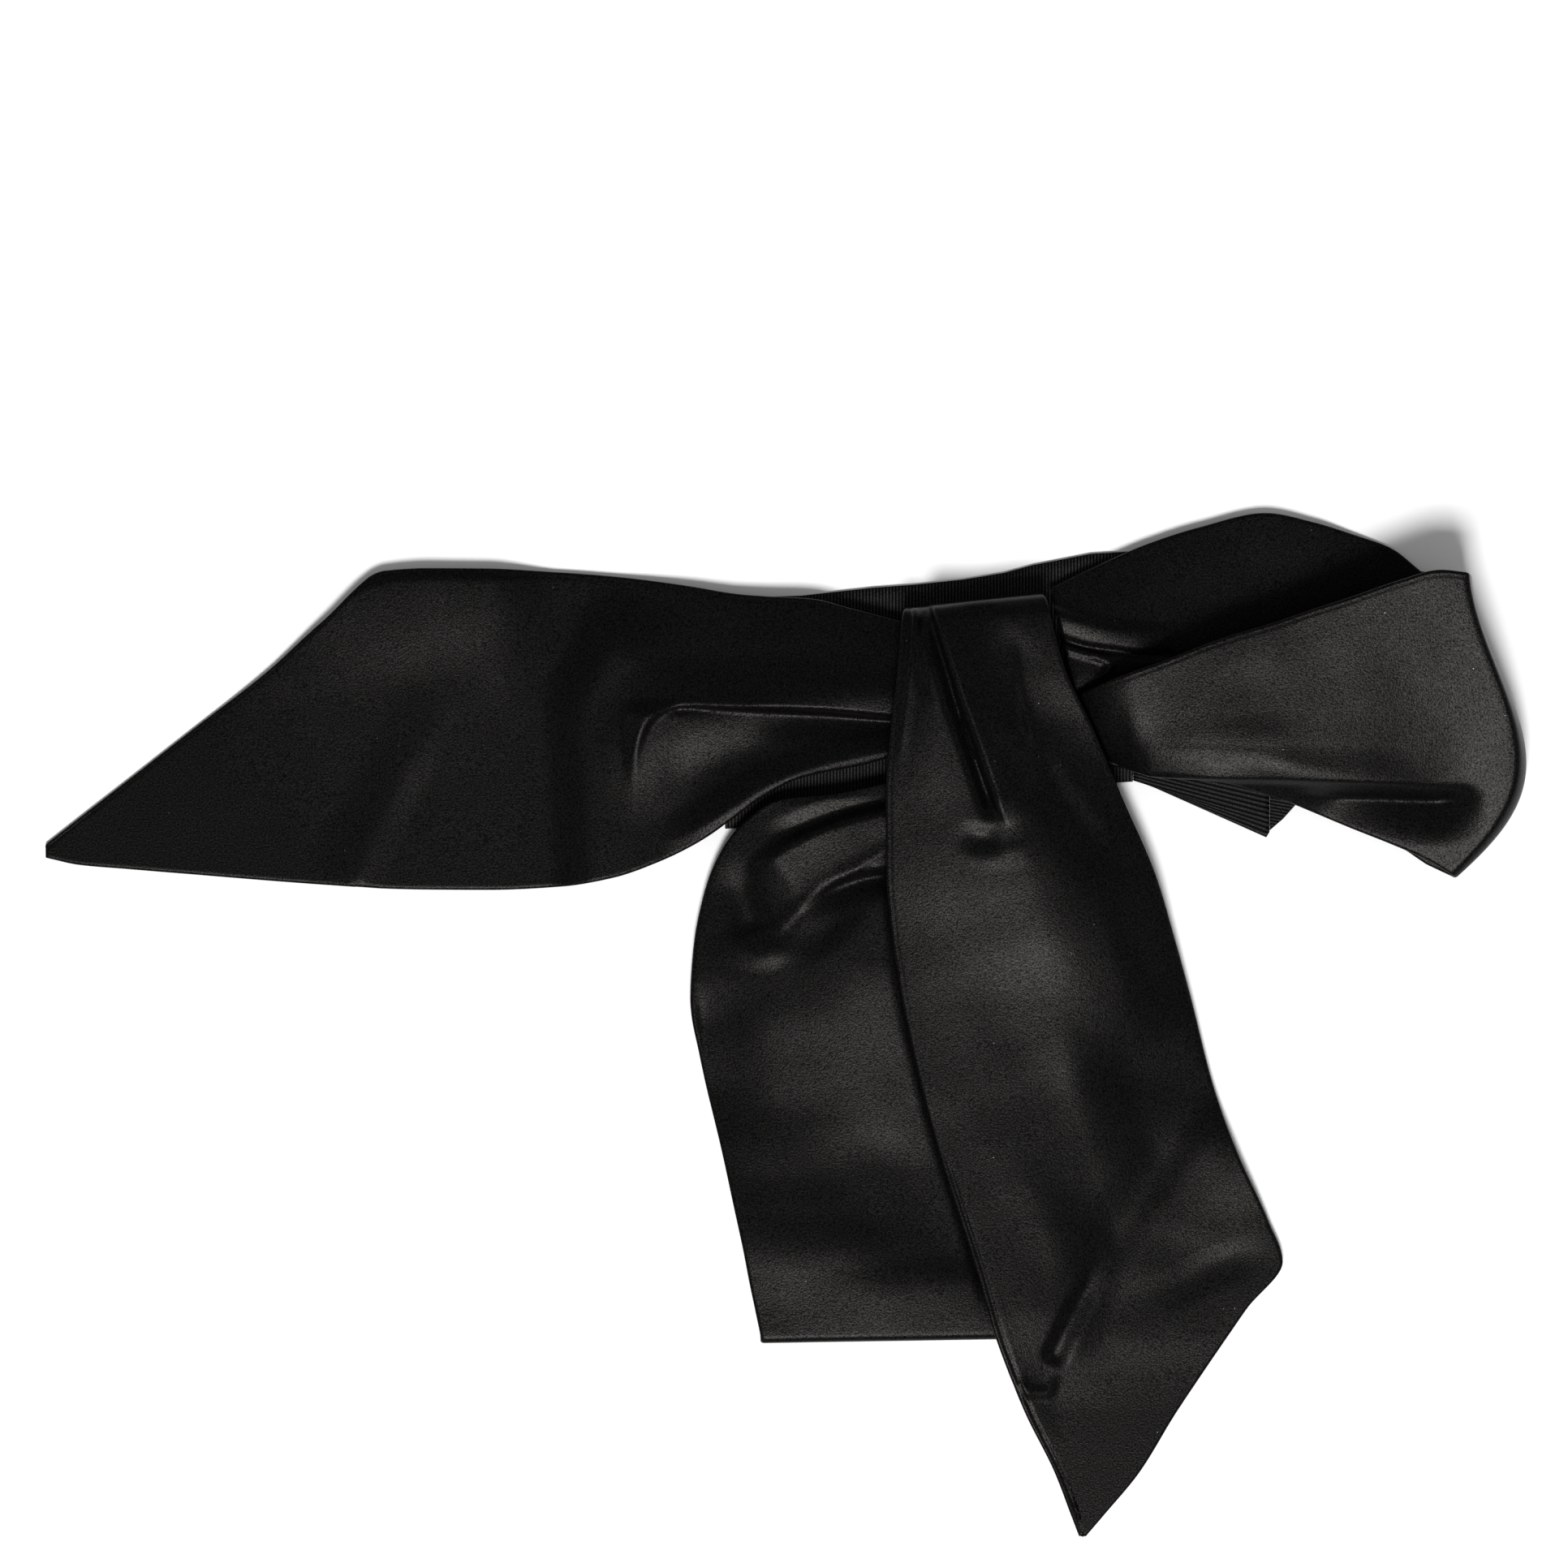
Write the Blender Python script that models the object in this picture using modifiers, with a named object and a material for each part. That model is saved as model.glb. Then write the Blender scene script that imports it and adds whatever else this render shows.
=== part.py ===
"""Black satin sash tied in a bow on a grosgrain band, laid flat with its face up.

Lengths in the tables are millimetres. +X runs to the right of the bow and +Y to its top,
+Z is up, and the origin is on the surface that it lies on, under the middle of its box.
"""
import math
from collections import namedtuple

import bmesh
import bpy
import numpy as np

COLLECTION = "satin_sash"
MM = 0.001
SATIN = 1.6          # the sewn tube of satin, pressed flat: two cloths and their turned edges
GROSGRAIN = 1.2      # the ribbed ribbon of the band
GAP = 0.3            # between pieces that touch
BAND_WIDTH = 70.0
STEP = 6.5           # spacing of the rows of a panel along its length
COLUMNS = 14         # faces across a panel
BEND_ROWS = 6        # rows round the open bend of the right loop
FOLD_ROWS = 4        # rows round the pressed fold of the lower loop
FOLD_REACH = 2.5     # how far the pressed fold stands out past its last section
BEND_FLAT = 3.0      # the bend's last strip, flat on the surface, where the back stretch meets it
BULGE_SKEW = 1.5     # pushes a section's bulge towards its second edge

# One section of a panel: its two edge points in plan, the height of the cloth's upper face at
# five places from edge a to edge b, and how far the section bows outwards between its edges.
Section = namedtuple("Section", "ax ay bx by za zab zm zba zb bow", defaults=(0.0,))

# One fold on a panel: its height where the path starts and ends (a trough is negative), its
# reach to the left and right of the path, and the points that the path runs through.
Fold = namedtuple("Fold", "start end left right path")

LEFT_TAIL = (
    Section(40.3, 121.0, 40.3, 83.5, 6.0, 9.0, 10.5, 8.0, 8.0),
    Section(20.5, 126.2, 25.0, 78.8, 6.0, 9.0, 11.0, 8.5, 9.0),
    Section(7.7, 129.2, 5.0, 74.6, 5.5, 8.5, 10.5, 8.5, 9.5),
    Section(-5.0, 129.9, -7.0, 68.6, 5.0, 8.0, 9.5, 7.5, 9.0),
    Section(-14.0, 130.6, -15.4, 62.6, 4.5, 7.0, 8.2, 6.0, 8.0),
    Section(-28.7, 133.0, -25.0, 56.0, 3.2, 5.2, 6.4, 4.6, 6.0),
    Section(-40.0, 134.6, -38.0, 49.4, 2.2, 3.4, 4.4, 3.4, 3.6),
    Section(-52.0, 136.0, -52.0, 44.5, 1.6, 2.4, 2.8, 2.4, 2.0),
    Section(-68.0, 137.2, -68.0, 41.8, 1.6, 2.0, 1.8, 1.6, 1.6),
    Section(-90.0, 138.3, -90.0, 40.8, 1.6, 3.0, 3.8, 3.0, 1.6),
    Section(-108.0, 138.4, -108.0, 40.9, 1.6, 3.0, 3.8, 2.2, 1.6),
    Section(-121.3, 137.6, -121.0, 41.2, 1.6, 2.6, 3.4, 1.8, 1.6),
    Section(-140.3, 122.4, -140.0, 42.4, 1.6, 2.2, 3.0, 2.4, 1.6),
    Section(-156.3, 107.7, -156.0, 43.6, 1.6, 1.8, 2.4, 2.4, 1.6),
    Section(-178.5, 90.5, -178.0, 45.4, 1.6, 1.6, 1.6, 1.6, 1.6),
    Section(-200.6, 73.2, -200.0, 47.2, 1.6, 1.6, 1.6, 1.6, 1.6),
    Section(-214.0, 62.8, -214.0, 48.4, 1.6, 1.6, 1.6, 1.6, 1.6),
    Section(-224.2, 54.8, -224.2, 50.6, 1.6, 1.6, 1.6, 1.6, 1.6),
)
LEFT_TAIL_FOLDS = (
    Fold(2.5, 2.5, 5.0, 15.0, ((33, 94), (9, 96.7), (-18, 97), (-33, 98), (-41, 95), (-45.5, 87),
                               (-46.6, 76), (-43, 60))),
    Fold(-3.5, -2.5, 8.0, 8.0, ((30, 87), (5, 88), (-20, 87.5), (-34, 84), (-38, 74), (-36, 62))),
    Fold(1.5, 1.5, 14.0, 24.0, ((-63, 128), (-72, 110), (-80, 92), (-82, 70), (-78, 42))),
    Fold(1.5, 2.0, 10.0, 12.0, ((-98, 112), (-108, 88), (-120, 64), (-131, 44))),
)

LOWER_LOOP = (
    Section(31.0, 73.4, 84.0, 72.0, 8.0, 9.0, 9.5, 9.0, 8.0),
    Section(14.0, 70.0, 84.3, 64.0, 8.0, 9.5, 10.5, 9.5, 8.0),
    Section(-1.5, 68.4, 84.6, 56.0, 7.5, 9.5, 10.5, 9.0, 7.5),
    Section(-11.5, 62.4, 84.8, 48.0, 6.5, 9.0, 10.0, 8.5, 7.0),
    Section(-18.8, 53.6, 85.0, 40.0, 5.6, 7.8, 9.4, 8.5, 6.2),
    Section(-24.2, 40.8, 85.0, 30.0, 5.0, 6.8, 8.8, 8.0, 5.6),
    Section(-27.6, 24.0, 85.0, 16.0, 5.0, 6.0, 8.2, 7.6, 5.2),
    Section(-28.6, 8.0, 85.0, 0.0, 5.0, 5.6, 7.6, 7.2, 5.0),
    Section(-25.6, -9.0, 85.0, -16.0, 5.0, 5.2, 6.8, 6.6, 5.0),
    Section(-21.4, -28.0, 84.5, -32.0, 5.0, 5.0, 6.0, 6.0, 5.0),
    Section(-18.0, -43.0, 83.0, -46.0, 5.0, 5.4, 5.4, 5.4, 5.0),
    Section(-12.6, -68.0, 80.0, -70.0, 5.0, 6.6, 6.0, 5.4, 5.0),
    Section(-8.6, -88.0, 77.0, -87.5, 5.0, 5.8, 5.6, 5.2, 5.0),
    Section(-7.3, -94.2, 76.0, -92.8, 5.0, 5.0, 5.0, 5.0, 5.0),
)
LOWER_LOOP_BACK_FROM = 5      # the hidden back layer starts at this section
LOWER_LOOP_FOLDS = (
    Fold(-2.5, -2.0, 4.5, 4.5, ((32, 67.5), (8, 61), (-9, 53))),
    Fold(1.0, 2.5, 13.0, 5.0, ((31, 56), (17.3, 46), (5, 37), (-3.5, 26))),
    Fold(-3.0, -2.0, 7.0, 7.0, ((40, 45), (22, 38), (12, 30))),
    Fold(-2.6, -3.2, 7.0, 7.0, ((-14, 44), (-12, 36), (-7, 28))),
    Fold(1.2, 1.2, 5.0, 5.0, ((-20, 24), (-8, 19), (4, 22))),
    Fold(1.5, 1.0, 14.0, 5.0, ((-20.5, 12), (-20, -10), (-18.5, -22), (-15, -40), (-8, -52), (2, -62),
                               (16, -72), (34, -82))),
)

FRONT_TAIL = (
    Section(35.9, 126.6, 78.1, 131.2, 2.2, 2.2, 2.2, 2.2, 2.2),
    Section(35.4, 124.6, 79.0, 129.2, 9.0, 11.0, 12.0, 10.5, 8.5),
    Section(34.8, 120.0, 80.0, 124.5, 13.5, 16.0, 17.0, 15.2, 13.5),
    Section(33.6, 106.2, 84.5, 108.0, 15.5, 19.0, 19.8, 17.4, 16.5),
    Section(31.8, 90.0, 93.0, 90.0, 15.8, 19.8, 20.6, 17.8, 15.8),
    Section(30.4, 70.0, 102.0, 69.5, 14.5, 17.6, 19.0, 16.2, 12.6),
    Section(30.6, 46.0, 112.3, 46.0, 12.5, 14.8, 15.8, 14.2, 9.2),
    Section(32.2, 28.0, 118.2, 27.0, 11.5, 13.0, 13.6, 12.6, 6.6),
    Section(35.8, 5.9, 123.5, 8.0, 11.0, 11.6, 11.6, 10.0, 4.2),
    Section(41.3, -18.6, 130.0, -18.0, 10.5, 11.0, 10.4, 6.6, 2.2),
    Section(46.5, -38.0, 137.0, -38.0, 10.0, 10.6, 8.8, 3.0, 1.6),
    Section(53.6, -60.3, 147.0, -60.0, 9.5, 9.4, 3.4, 1.8, 1.6),
    Section(58.0, -74.0, 151.2, -72.0, 9.0, 8.0, 2.0, 1.7, 1.6),
    Section(61.5, -86.0, 140.5, -86.0, 8.6, 7.2, 1.7, 1.6, 1.6),
    Section(63.8, -94.0, 135.0, -94.0, 8.2, 6.2, 1.7, 1.6, 1.6),
    Section(68.6, -107.0, 126.2, -107.0, 5.0, 2.4, 1.6, 1.6, 1.6),
    Section(73.4, -118.6, 118.5, -118.6, 3.0, 1.8, 1.6, 1.6, 1.6),
    Section(82.0, -136.0, 107.8, -136.0, 1.6, 1.6, 1.6, 1.6, 1.6),
    Section(87.0, -149.0, 97.0, -149.0, 1.6, 1.6, 1.6, 1.6, 1.6),
    Section(89.4, -155.3, 91.6, -155.3, 1.6, 1.6, 1.6, 1.6, 1.6),
)
FRONT_TAIL_FOLDS = (
    Fold(1.5, 2.0, 12.0, 3.5, ((45, 124), (48.5, 112), (53, 96), (58, 81), (63, 69), (68, 59))),
    Fold(-2.5, -3.5, 4.5, 6.0, ((41, 122), (44, 110), (48, 95), (53, 80), (59, 66), (63, 58))),
    Fold(-1.5, -2.0, 9.0, 7.0, ((70, 122), (70, 105), (73, 84), (82, 70), (92, 56), (101, 38))),
    Fold(1.0, 1.5, 12.0, 20.0, ((64, 74), (76, 58), (87, 42), (95, 26), (99, 10), (96, -8))),
)
KNOT_COLUMNS = (2, 12)        # the knot lies under the front tail between these columns
KNOT_TOP_Y = 121.0
KNOT_BOTTOM_Y = 75.5

LOOP_BACK = (
    Section(80.5, 132.4, 92.0, 79.5, 5.0, 9.0, 9.5, 5.0, 3.4),
    Section(92.7, 138.3, 101.0, 78.0, 4.6, 8.5, 9.5, 4.5, 3.4),
    Section(110.5, 146.0, 112.0, 76.0, 4.0, 6.5, 8.5, 4.0, 3.4),
    Section(126.3, 151.0, 130.0, 73.5, 3.6, 5.0, 6.0, 3.6, 3.4),
    Section(145.8, 155.2, 148.0, 69.3, 3.2, 4.2, 4.0, 3.4, 3.4),
    Section(160.9, 152.3, 162.0, 64.5, 2.6, 3.4, 3.2, 3.2, 3.2),
    Section(172.5, 148.8, 173.0, 60.0, 1.8, 2.4, 2.2, 1.8, 1.8),
    Section(184.0, 144.7, 184.0, 55.6, 1.6, 1.6, 1.6, 1.6, 1.6, 6.0),
)
LOOP_BACK_FOLDS = (
    Fold(3.0, 1.5, 10.0, 4.0, ((84, 118.5), (93, 114.5), (107, 112.6), (122, 112), (136, 114))),
)

LOOP_FRONT = (
    Section(88.5, 100.0, 98.5, 79.5, 10.6, 10.6, 10.4, 9.0, 5.6),
    Section(97.5, 104.0, 103.2, 77.2, 16.6, 16.6, 15.6, 13.5, 7.0),
    Section(113.6, 109.8, 111.0, 74.8, 21.0, 21.5, 20.0, 17.0, 8.0),
    Section(129.6, 116.1, 130.0, 73.4, 23.0, 23.5, 22.0, 18.0, 8.0),
    Section(147.4, 121.6, 148.9, 68.3, 25.0, 25.0, 22.5, 17.5, 6.0),
    Section(158.0, 125.2, 160.5, 64.0, 25.5, 25.0, 22.5, 17.0, 5.6),
    Section(170.2, 129.1, 172.2, 59.2, 26.0, 25.5, 22.5, 16.5, 5.0, 2.0),
    Section(184.0, 133.8, 183.6, 54.6, 27.0, 26.0, 22.5, 15.5, 4.4, 6.0),
    Section(196.5, 137.6, 198.2, 48.6, 27.0, 25.0, 21.0, 13.5, 4.4, 13.0),
)
LOOP_FRONT_BEND = Section(206.9, 135.9, 203.6, 44.8, 0.0, 0.0, 0.0, 0.0, 0.0, 19.5)
LOOP_FRONT_FOLDS = (
    Fold(2.5, 3.0, 12.0, 3.0, ((102, 78.5), (112, 77), (130, 76), (150, 75.6), (172, 75), (194, 75))),
    Fold(-0.5, -6.0, 4.5, 10.0, ((146, 69.5), (160, 69), (178, 68.5), (196, 68.5))),
)

# The band's upper edge, left to right; its lower edge is the band's width below it.
BAND_TOP = ((-18.0, 129.4), (5.1, 130.2), (27.0, 132.6), (40.3, 133.6), (54.3, 135.1), (66.6, 137.1),
            (75.5, 139.5), (84.4, 141.2), (93.0, 142.9), (105.8, 143.7))
BAND_TURN = ((106.3, 73.9), (109.4, 73.2), (146.3, 56.8), (147.3, 67.6), (147.3, 96.0), (106.3, 96.0))
BAND_UNDER = ((147.2, 57.4), (151.4, 62.4), (154.1, 65.4), (160.0, 72.0), (160.0, 86.0), (147.7, 86.0),
              (147.7, 67.6))


def clear_scene():
    """Remove every object, so that the part stands alone."""
    for thing in list(bpy.data.objects):
        bpy.data.objects.remove(thing, do_unlink=True)


def cloth_material(name, colour, roughness):
    """Principled material of one cloth."""
    material = bpy.data.materials.new(name)
    material.use_nodes = True
    shader = material.node_tree.nodes["Principled BSDF"]
    shader.inputs["Base Color"].default_value = (*colour, 1.0)
    shader.inputs["Roughness"].default_value = roughness
    shader.inputs["Metallic"].default_value = 0.0
    return material


def smooth_through(places, values, wanted):
    """Values at the wanted places, on a cubic through the given ones that never overshoots."""
    places = np.asarray(places, dtype=float)
    values = np.asarray(values, dtype=float)
    widths = np.diff(places)[:, None]
    slopes = np.diff(values, axis=0) / widths
    tangents = np.zeros_like(values)
    tangents[0] = slopes[0]
    tangents[-1] = slopes[-1]
    product = slopes[:-1] * slopes[1:]
    total = slopes[:-1] + slopes[1:]
    safe = np.where(np.abs(total) < 1e-12, 1.0, total)
    tangents[1:-1] = np.where(product > 0.0, 2.0 * product / safe, 0.0)
    wanted = np.clip(wanted, places[0], places[-1])
    index = np.clip(np.searchsorted(places, wanted, side="right") - 1, 0, len(places) - 2)
    width = widths[index]
    t = (wanted - places[index])[:, None] / width
    return ((2 * t**3 - 3 * t**2 + 1) * values[index] + (t**3 - 2 * t**2 + t) * width * tangents[index]
            + (3 * t**2 - 2 * t**3) * values[index + 1] + (t**3 - t**2) * width * tangents[index + 1])


def fold_height(x, y, fold):
    """Height that one fold adds at plan points: full on its path, nothing past its reach."""
    path = np.asarray(fold.path, dtype=float)
    lengths = np.hypot(*np.diff(path, axis=0).T)
    run = np.concatenate(([0.0], np.cumsum(lengths)))
    nearest = np.full(x.shape, np.inf)
    signed = np.zeros(x.shape)
    along = np.zeros(x.shape)
    for index, length in enumerate(lengths):
        step = (path[index + 1] - path[index]) / length
        dx = x - path[index, 0]
        dy = y - path[index, 1]
        t = np.clip(dx * step[0] + dy * step[1], 0.0, length)
        distance = np.hypot(dx - t * step[0], dy - t * step[1])
        side = np.where(step[0] * dy - step[1] * dx >= 0.0, 1.0, -1.0)
        closer = distance < nearest
        nearest = np.where(closer, distance, nearest)
        signed = np.where(closer, distance * side, signed)
        along = np.where(closer, (run[index] + t) / run[-1], along)
    reach = np.where(signed >= 0.0, fold.left, fold.right)
    profile = np.clip(1.0 - nearest / reach, 0.0, 1.0)
    height = fold.start + (fold.end - fold.start) * along
    return height * profile**2 * (3.0 - 2.0 * profile)


def panel_points(sections, folds, step=STEP, columns=COLUMNS):
    """Grid of a panel's upper face, as rows by columns by xyz, in millimetres."""
    table = np.array([tuple(section) for section in sections])
    middle = (table[:, 0:2] + table[:, 2:4]) / 2.0
    lengths = np.hypot(*np.diff(middle, axis=0).T)
    places = np.concatenate(([0.0], np.cumsum(lengths)))
    wanted = []
    for start, length in zip(places[:-1], lengths):
        parts = max(1, math.ceil(length / step))
        wanted.extend(start + length * part / parts for part in range(parts))
    wanted = np.array(wanted + [places[-1]])
    rows = smooth_through(places, table, wanted)
    v = np.linspace(0.0, 1.0, columns + 1)
    edge_a = rows[:, None, 0:2]
    edge_b = rows[:, None, 2:4]
    plan = edge_a + (edge_b - edge_a) * v[None, :, None]
    plan = plan + bow_offset(rows, v)
    heights = smooth_through(np.linspace(0.0, 1.0, 5), rows[:, 4:9].T, v).T
    for fold in folds:
        heights = heights + fold_height(plan[..., 0], plan[..., 1], fold)
    return np.dstack((plan, np.maximum(heights, SATIN)))


def normals(points):
    """Upward unit normals of a grid whose rows run towards -Y and columns towards +X."""
    along = np.gradient(points, axis=0)
    across = np.gradient(points, axis=1)
    normal = np.cross(along, across)
    return normal / np.linalg.norm(normal, axis=-1, keepdims=True)


def bow_offset(rows, v):
    """Plan offset of bowed sections: across the section, zero at its edges."""
    across = rows[:, 2:4] - rows[:, 0:2]
    outward = np.stack((-across[:, 1], across[:, 0]), axis=1)
    outward = outward / np.hypot(*across.T)[:, None]
    shape = np.sin(math.pi * v**BULGE_SKEW)
    return rows[:, 9][:, None, None] * shape[None, :, None] * outward[:, None, :]


def bend_points(last_row, crest, rows):
    """Rows round a bend: a half ellipse from the last row, out to the crest, to the surface."""
    angles = np.linspace(0.0, math.pi, rows + 1)[1:, None]
    plan = last_row[None, :, 0:2] + (crest - last_row[:, 0:2])[None] * np.sin(angles)[..., None]
    height = last_row[None, :, 2] * (1.0 + np.cos(angles)) / 2.0
    return np.dstack((plan, height))


def grid_object(name, points, material, columns_turned=False):
    """Open surface on a grid of points, with its faces turned to the cloth's outer side."""
    rows, columns = points.shape[:2]
    index = np.arange(rows * columns).reshape(rows, columns)
    faces = np.stack((index[:-1, :-1], index[1:, :-1], index[1:, 1:], index[:-1, 1:]), axis=-1)
    faces = faces.reshape(-1, 4)
    if columns_turned:
        faces = faces[:, ::-1]
    mesh = bpy.data.meshes.new(name)
    mesh.from_pydata((points.reshape(-1, 3) * MM).tolist(), [], faces.tolist())
    mesh.materials.append(material)
    mesh.shade_smooth()
    return link(bpy.data.objects.new(name, mesh))


def link(thing):
    """Put an object in the sash's collection."""
    collection = bpy.data.collections.get(COLLECTION)
    if collection is None:
        collection = bpy.data.collections.new(COLLECTION)
        bpy.context.scene.collection.children.link(collection)
    collection.objects.link(thing)
    return thing


def give_wall(thing, thickness):
    """Thicken an open surface inwards from its outer side."""
    wall = thing.modifiers.new("wall", "SOLIDIFY")
    wall.thickness = thickness * MM
    wall.offset = -1.0
    return thing


def left_tail(satin):
    """Flat tail to the left, pleated where it leaves the knot."""
    points = panel_points(LEFT_TAIL, LEFT_TAIL_FOLDS)
    return give_wall(grid_object("left_tail", points, satin), SATIN)


def front_tail(satin):
    """Tail that folds over the knot and falls to a point."""
    points = panel_points(FRONT_TAIL, FRONT_TAIL_FOLDS)
    return give_wall(grid_object("front_tail", points, satin), SATIN)


def lower_loop(satin):
    """Loop under the front tail: its front layer, the pressed fold and the flat back layer."""
    front = panel_points(LOWER_LOOP, LOWER_LOOP_FOLDS)
    crest = front[-1, :, 0:2] + np.array((0.0, -FOLD_REACH))
    fold = bend_points(front[-1], crest, FOLD_ROWS)
    back = panel_points(LOWER_LOOP[LOWER_LOOP_BACK_FROM:], (), step=2.0 * STEP)[::-1][1:]
    back[..., 2] = 0.0
    points = np.concatenate((front, fold, back))
    return give_wall(grid_object("lower_loop", points, satin), SATIN)


def right_loop_back(satin):
    """Back stretch of the right loop, which lies on the band and the surface."""
    bend = LOOP_FRONT[-1]
    shift = BEND_FLAT + GAP
    seam = Section(bend.ax - shift, bend.ay, bend.bx - shift, bend.by, SATIN, SATIN, SATIN, SATIN, SATIN,
                   bend.bow)
    points = panel_points(LOOP_BACK + (seam,), LOOP_BACK_FOLDS)
    return give_wall(grid_object("right_loop_back", points, satin, columns_turned=True), SATIN)


def right_loop_front(satin):
    """Front stretch of the right loop, with the open bend that brings it down to the surface."""
    front = panel_points(LOOP_FRONT, LOOP_FRONT_FOLDS)
    crest = np.array([tuple(LOOP_FRONT_BEND)])
    v = np.linspace(0.0, 1.0, COLUMNS + 1)
    edge = crest[:, None, 0:2] + (crest[:, None, 2:4] - crest[:, None, 0:2]) * v[None, :, None]
    edge = (edge + bow_offset(crest, v))[0]
    bend = bend_points(front[-1], edge, BEND_ROWS)
    flat = bend[-1:] - np.array((BEND_FLAT, 0.0, 0.0))
    points = np.concatenate((front, bend, flat))
    return give_wall(grid_object("right_loop_front", points, satin, columns_turned=True), SATIN)


def knot(satin):
    """Hidden layers of the knot as one solid: its top keeps the front tail's form, below it."""
    cover = panel_points(FRONT_TAIL, FRONT_TAIL_FOLDS)
    first, last = KNOT_COLUMNS
    middle_y = cover[:, COLUMNS // 2, 1]
    rows = np.nonzero((middle_y <= KNOT_TOP_Y) & (middle_y >= KNOT_BOTTOM_Y))[0]
    below = cover - normals(cover) * (SATIN + 2.0 * GAP)
    top = below[rows[0]:rows[-1] + 1, first:last + 1]
    base = GROSGRAIN + GAP
    thing = grid_object("knot", top, satin)
    shape = bmesh.new()
    shape.from_mesh(thing.data)
    raised = bmesh.ops.extrude_face_region(shape, geom=shape.faces[:])["geom"]
    lowered = [part for part in raised if isinstance(part, bmesh.types.BMVert)]
    for vert in lowered:
        vert.co.z = base * MM
    bmesh.ops.recalc_face_normals(shape, faces=shape.faces[:])
    shape.to_mesh(thing.data)
    shape.free()
    return thing


def flat_piece(name, outline, bottom, thickness, material):
    """Flat ribbon piece cut to an outline."""
    curve = bpy.data.curves.new(name, "CURVE")
    curve.dimensions = "2D"
    curve.fill_mode = "BOTH"
    curve.extrude = thickness / 2.0 * MM
    spline = curve.splines.new("POLY")
    spline.points.add(len(outline) - 1)
    for point, (x, y) in zip(spline.points, outline):
        point.co = (x * MM, y * MM, 0.0, 1.0)
    spline.use_cyclic_u = True
    curve.materials.append(material)
    thing = link(bpy.data.objects.new(name, curve))
    thing.location.z = (bottom + thickness / 2.0) * MM
    return thing


def band(grosgrain):
    """Grosgrain band that runs behind the knot."""
    lower = [(x, y - BAND_WIDTH) for x, y in reversed(BAND_TOP)]
    return flat_piece("band", list(BAND_TOP) + lower, 0.0, GROSGRAIN, grosgrain)


def main():
    """Build the sash, piece by piece."""
    clear_scene()
    satin = cloth_material("black_satin", (0.012, 0.012, 0.012), 0.38)
    grosgrain = cloth_material("black_grosgrain", (0.010, 0.010, 0.010), 0.75)
    band(grosgrain)
    flat_piece("band_turn", BAND_TURN, 0.0, GROSGRAIN, grosgrain)
    flat_piece("band_under", BAND_UNDER, 0.0, GROSGRAIN, grosgrain)
    knot(satin)
    left_tail(satin)
    lower_loop(satin)
    right_loop_back(satin)
    right_loop_front(satin)
    front_tail(satin)


main()
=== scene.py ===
import logging
import math
from dataclasses import dataclass, field, replace
from enum import Enum

import bpy
import numpy as np
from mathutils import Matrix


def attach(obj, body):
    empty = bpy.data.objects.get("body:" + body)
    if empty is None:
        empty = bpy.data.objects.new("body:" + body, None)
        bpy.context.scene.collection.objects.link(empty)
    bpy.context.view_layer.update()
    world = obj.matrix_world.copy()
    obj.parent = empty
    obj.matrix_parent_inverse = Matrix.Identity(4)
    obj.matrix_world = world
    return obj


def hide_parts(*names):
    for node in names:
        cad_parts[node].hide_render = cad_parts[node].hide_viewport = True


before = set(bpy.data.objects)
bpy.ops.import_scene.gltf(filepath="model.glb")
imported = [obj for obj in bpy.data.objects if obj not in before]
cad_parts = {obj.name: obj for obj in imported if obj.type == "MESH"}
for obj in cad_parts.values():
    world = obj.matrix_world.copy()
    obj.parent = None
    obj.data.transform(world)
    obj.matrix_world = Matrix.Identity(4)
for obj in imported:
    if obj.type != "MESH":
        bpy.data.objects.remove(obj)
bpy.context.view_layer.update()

log = logging.getLogger("satin_sash")

MM = 0.001
SATIN_WALL = 1.6       # millimetres, the tube of satin pressed flat
LOWEST_TOP = 1.25      # millimetres, the upper face at the bottom of a stitched line
RIBBON_WALL = 1.2      # millimetres, the grosgrain
BULGE_SKEW = 1.5       # pushes a section's bow towards its second edge
PATH_POINTS = 28       # a fold's path is smoothed to this many points
RIPPLE_RISE = 1.5      # millimetres above the surface over which the ripple grows to its full height
RIM_ROLL = 1.1         # millimetres, the width over which a long edge is rounded off
RIM_START = 0.02       # share of that roll at which the rim itself stands
SEAM_PLACE = 1.4       # millimetres from an edge to its stitched line
SEAM_WIDTH = 0.4       # millimetres, half the width of that line
SELVEDGE = 0.6         # millimetres, the rounded edge of the grosgrain
SELVEDGE_START = 0.05  # share of that edge at which its rim stands
EDGE_COLUMNS = (0.0, 0.10, 0.30, 0.60, 1.0, 1.5, 2.0, 2.5, 3.1)   # mm in from an edge
EDGE_FULL_WIDTH = 26.0                                          # narrower rows squeeze those columns
NO_WIDTH = 1e-12       # stands in for a sum or a length of zero


class Slot(Enum):
    """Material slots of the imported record."""

    SATIN = "satin"
    GROSGRAIN = "grosgrain"


class Hold(Enum):
    """How a stretch of cloth is held."""

    LAID = "laid"
    FOLDED = "folded"
    DRAPED = "draped"


@dataclass(frozen=True)
class Section:
    """One section across a stretch of cloth, in millimetres.

    Args:
        ax, ay, bx, by: plan of its two edges.
        za, zab, zm, zba, zb: height of the upper face at five places from edge a to edge b.
        bow: how far the section bows out between its edges.
    """

    ax: float
    ay: float
    bx: float
    by: float
    za: float
    zab: float
    zm: float
    zba: float
    zb: float
    bow: float = 0.0

    def row(self) -> tuple[float, ...]:
        """The section as one row of numbers."""
        return (self.ax, self.ay, self.bx, self.by, self.za, self.zab, self.zm, self.zba, self.zb, self.bow)


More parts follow.
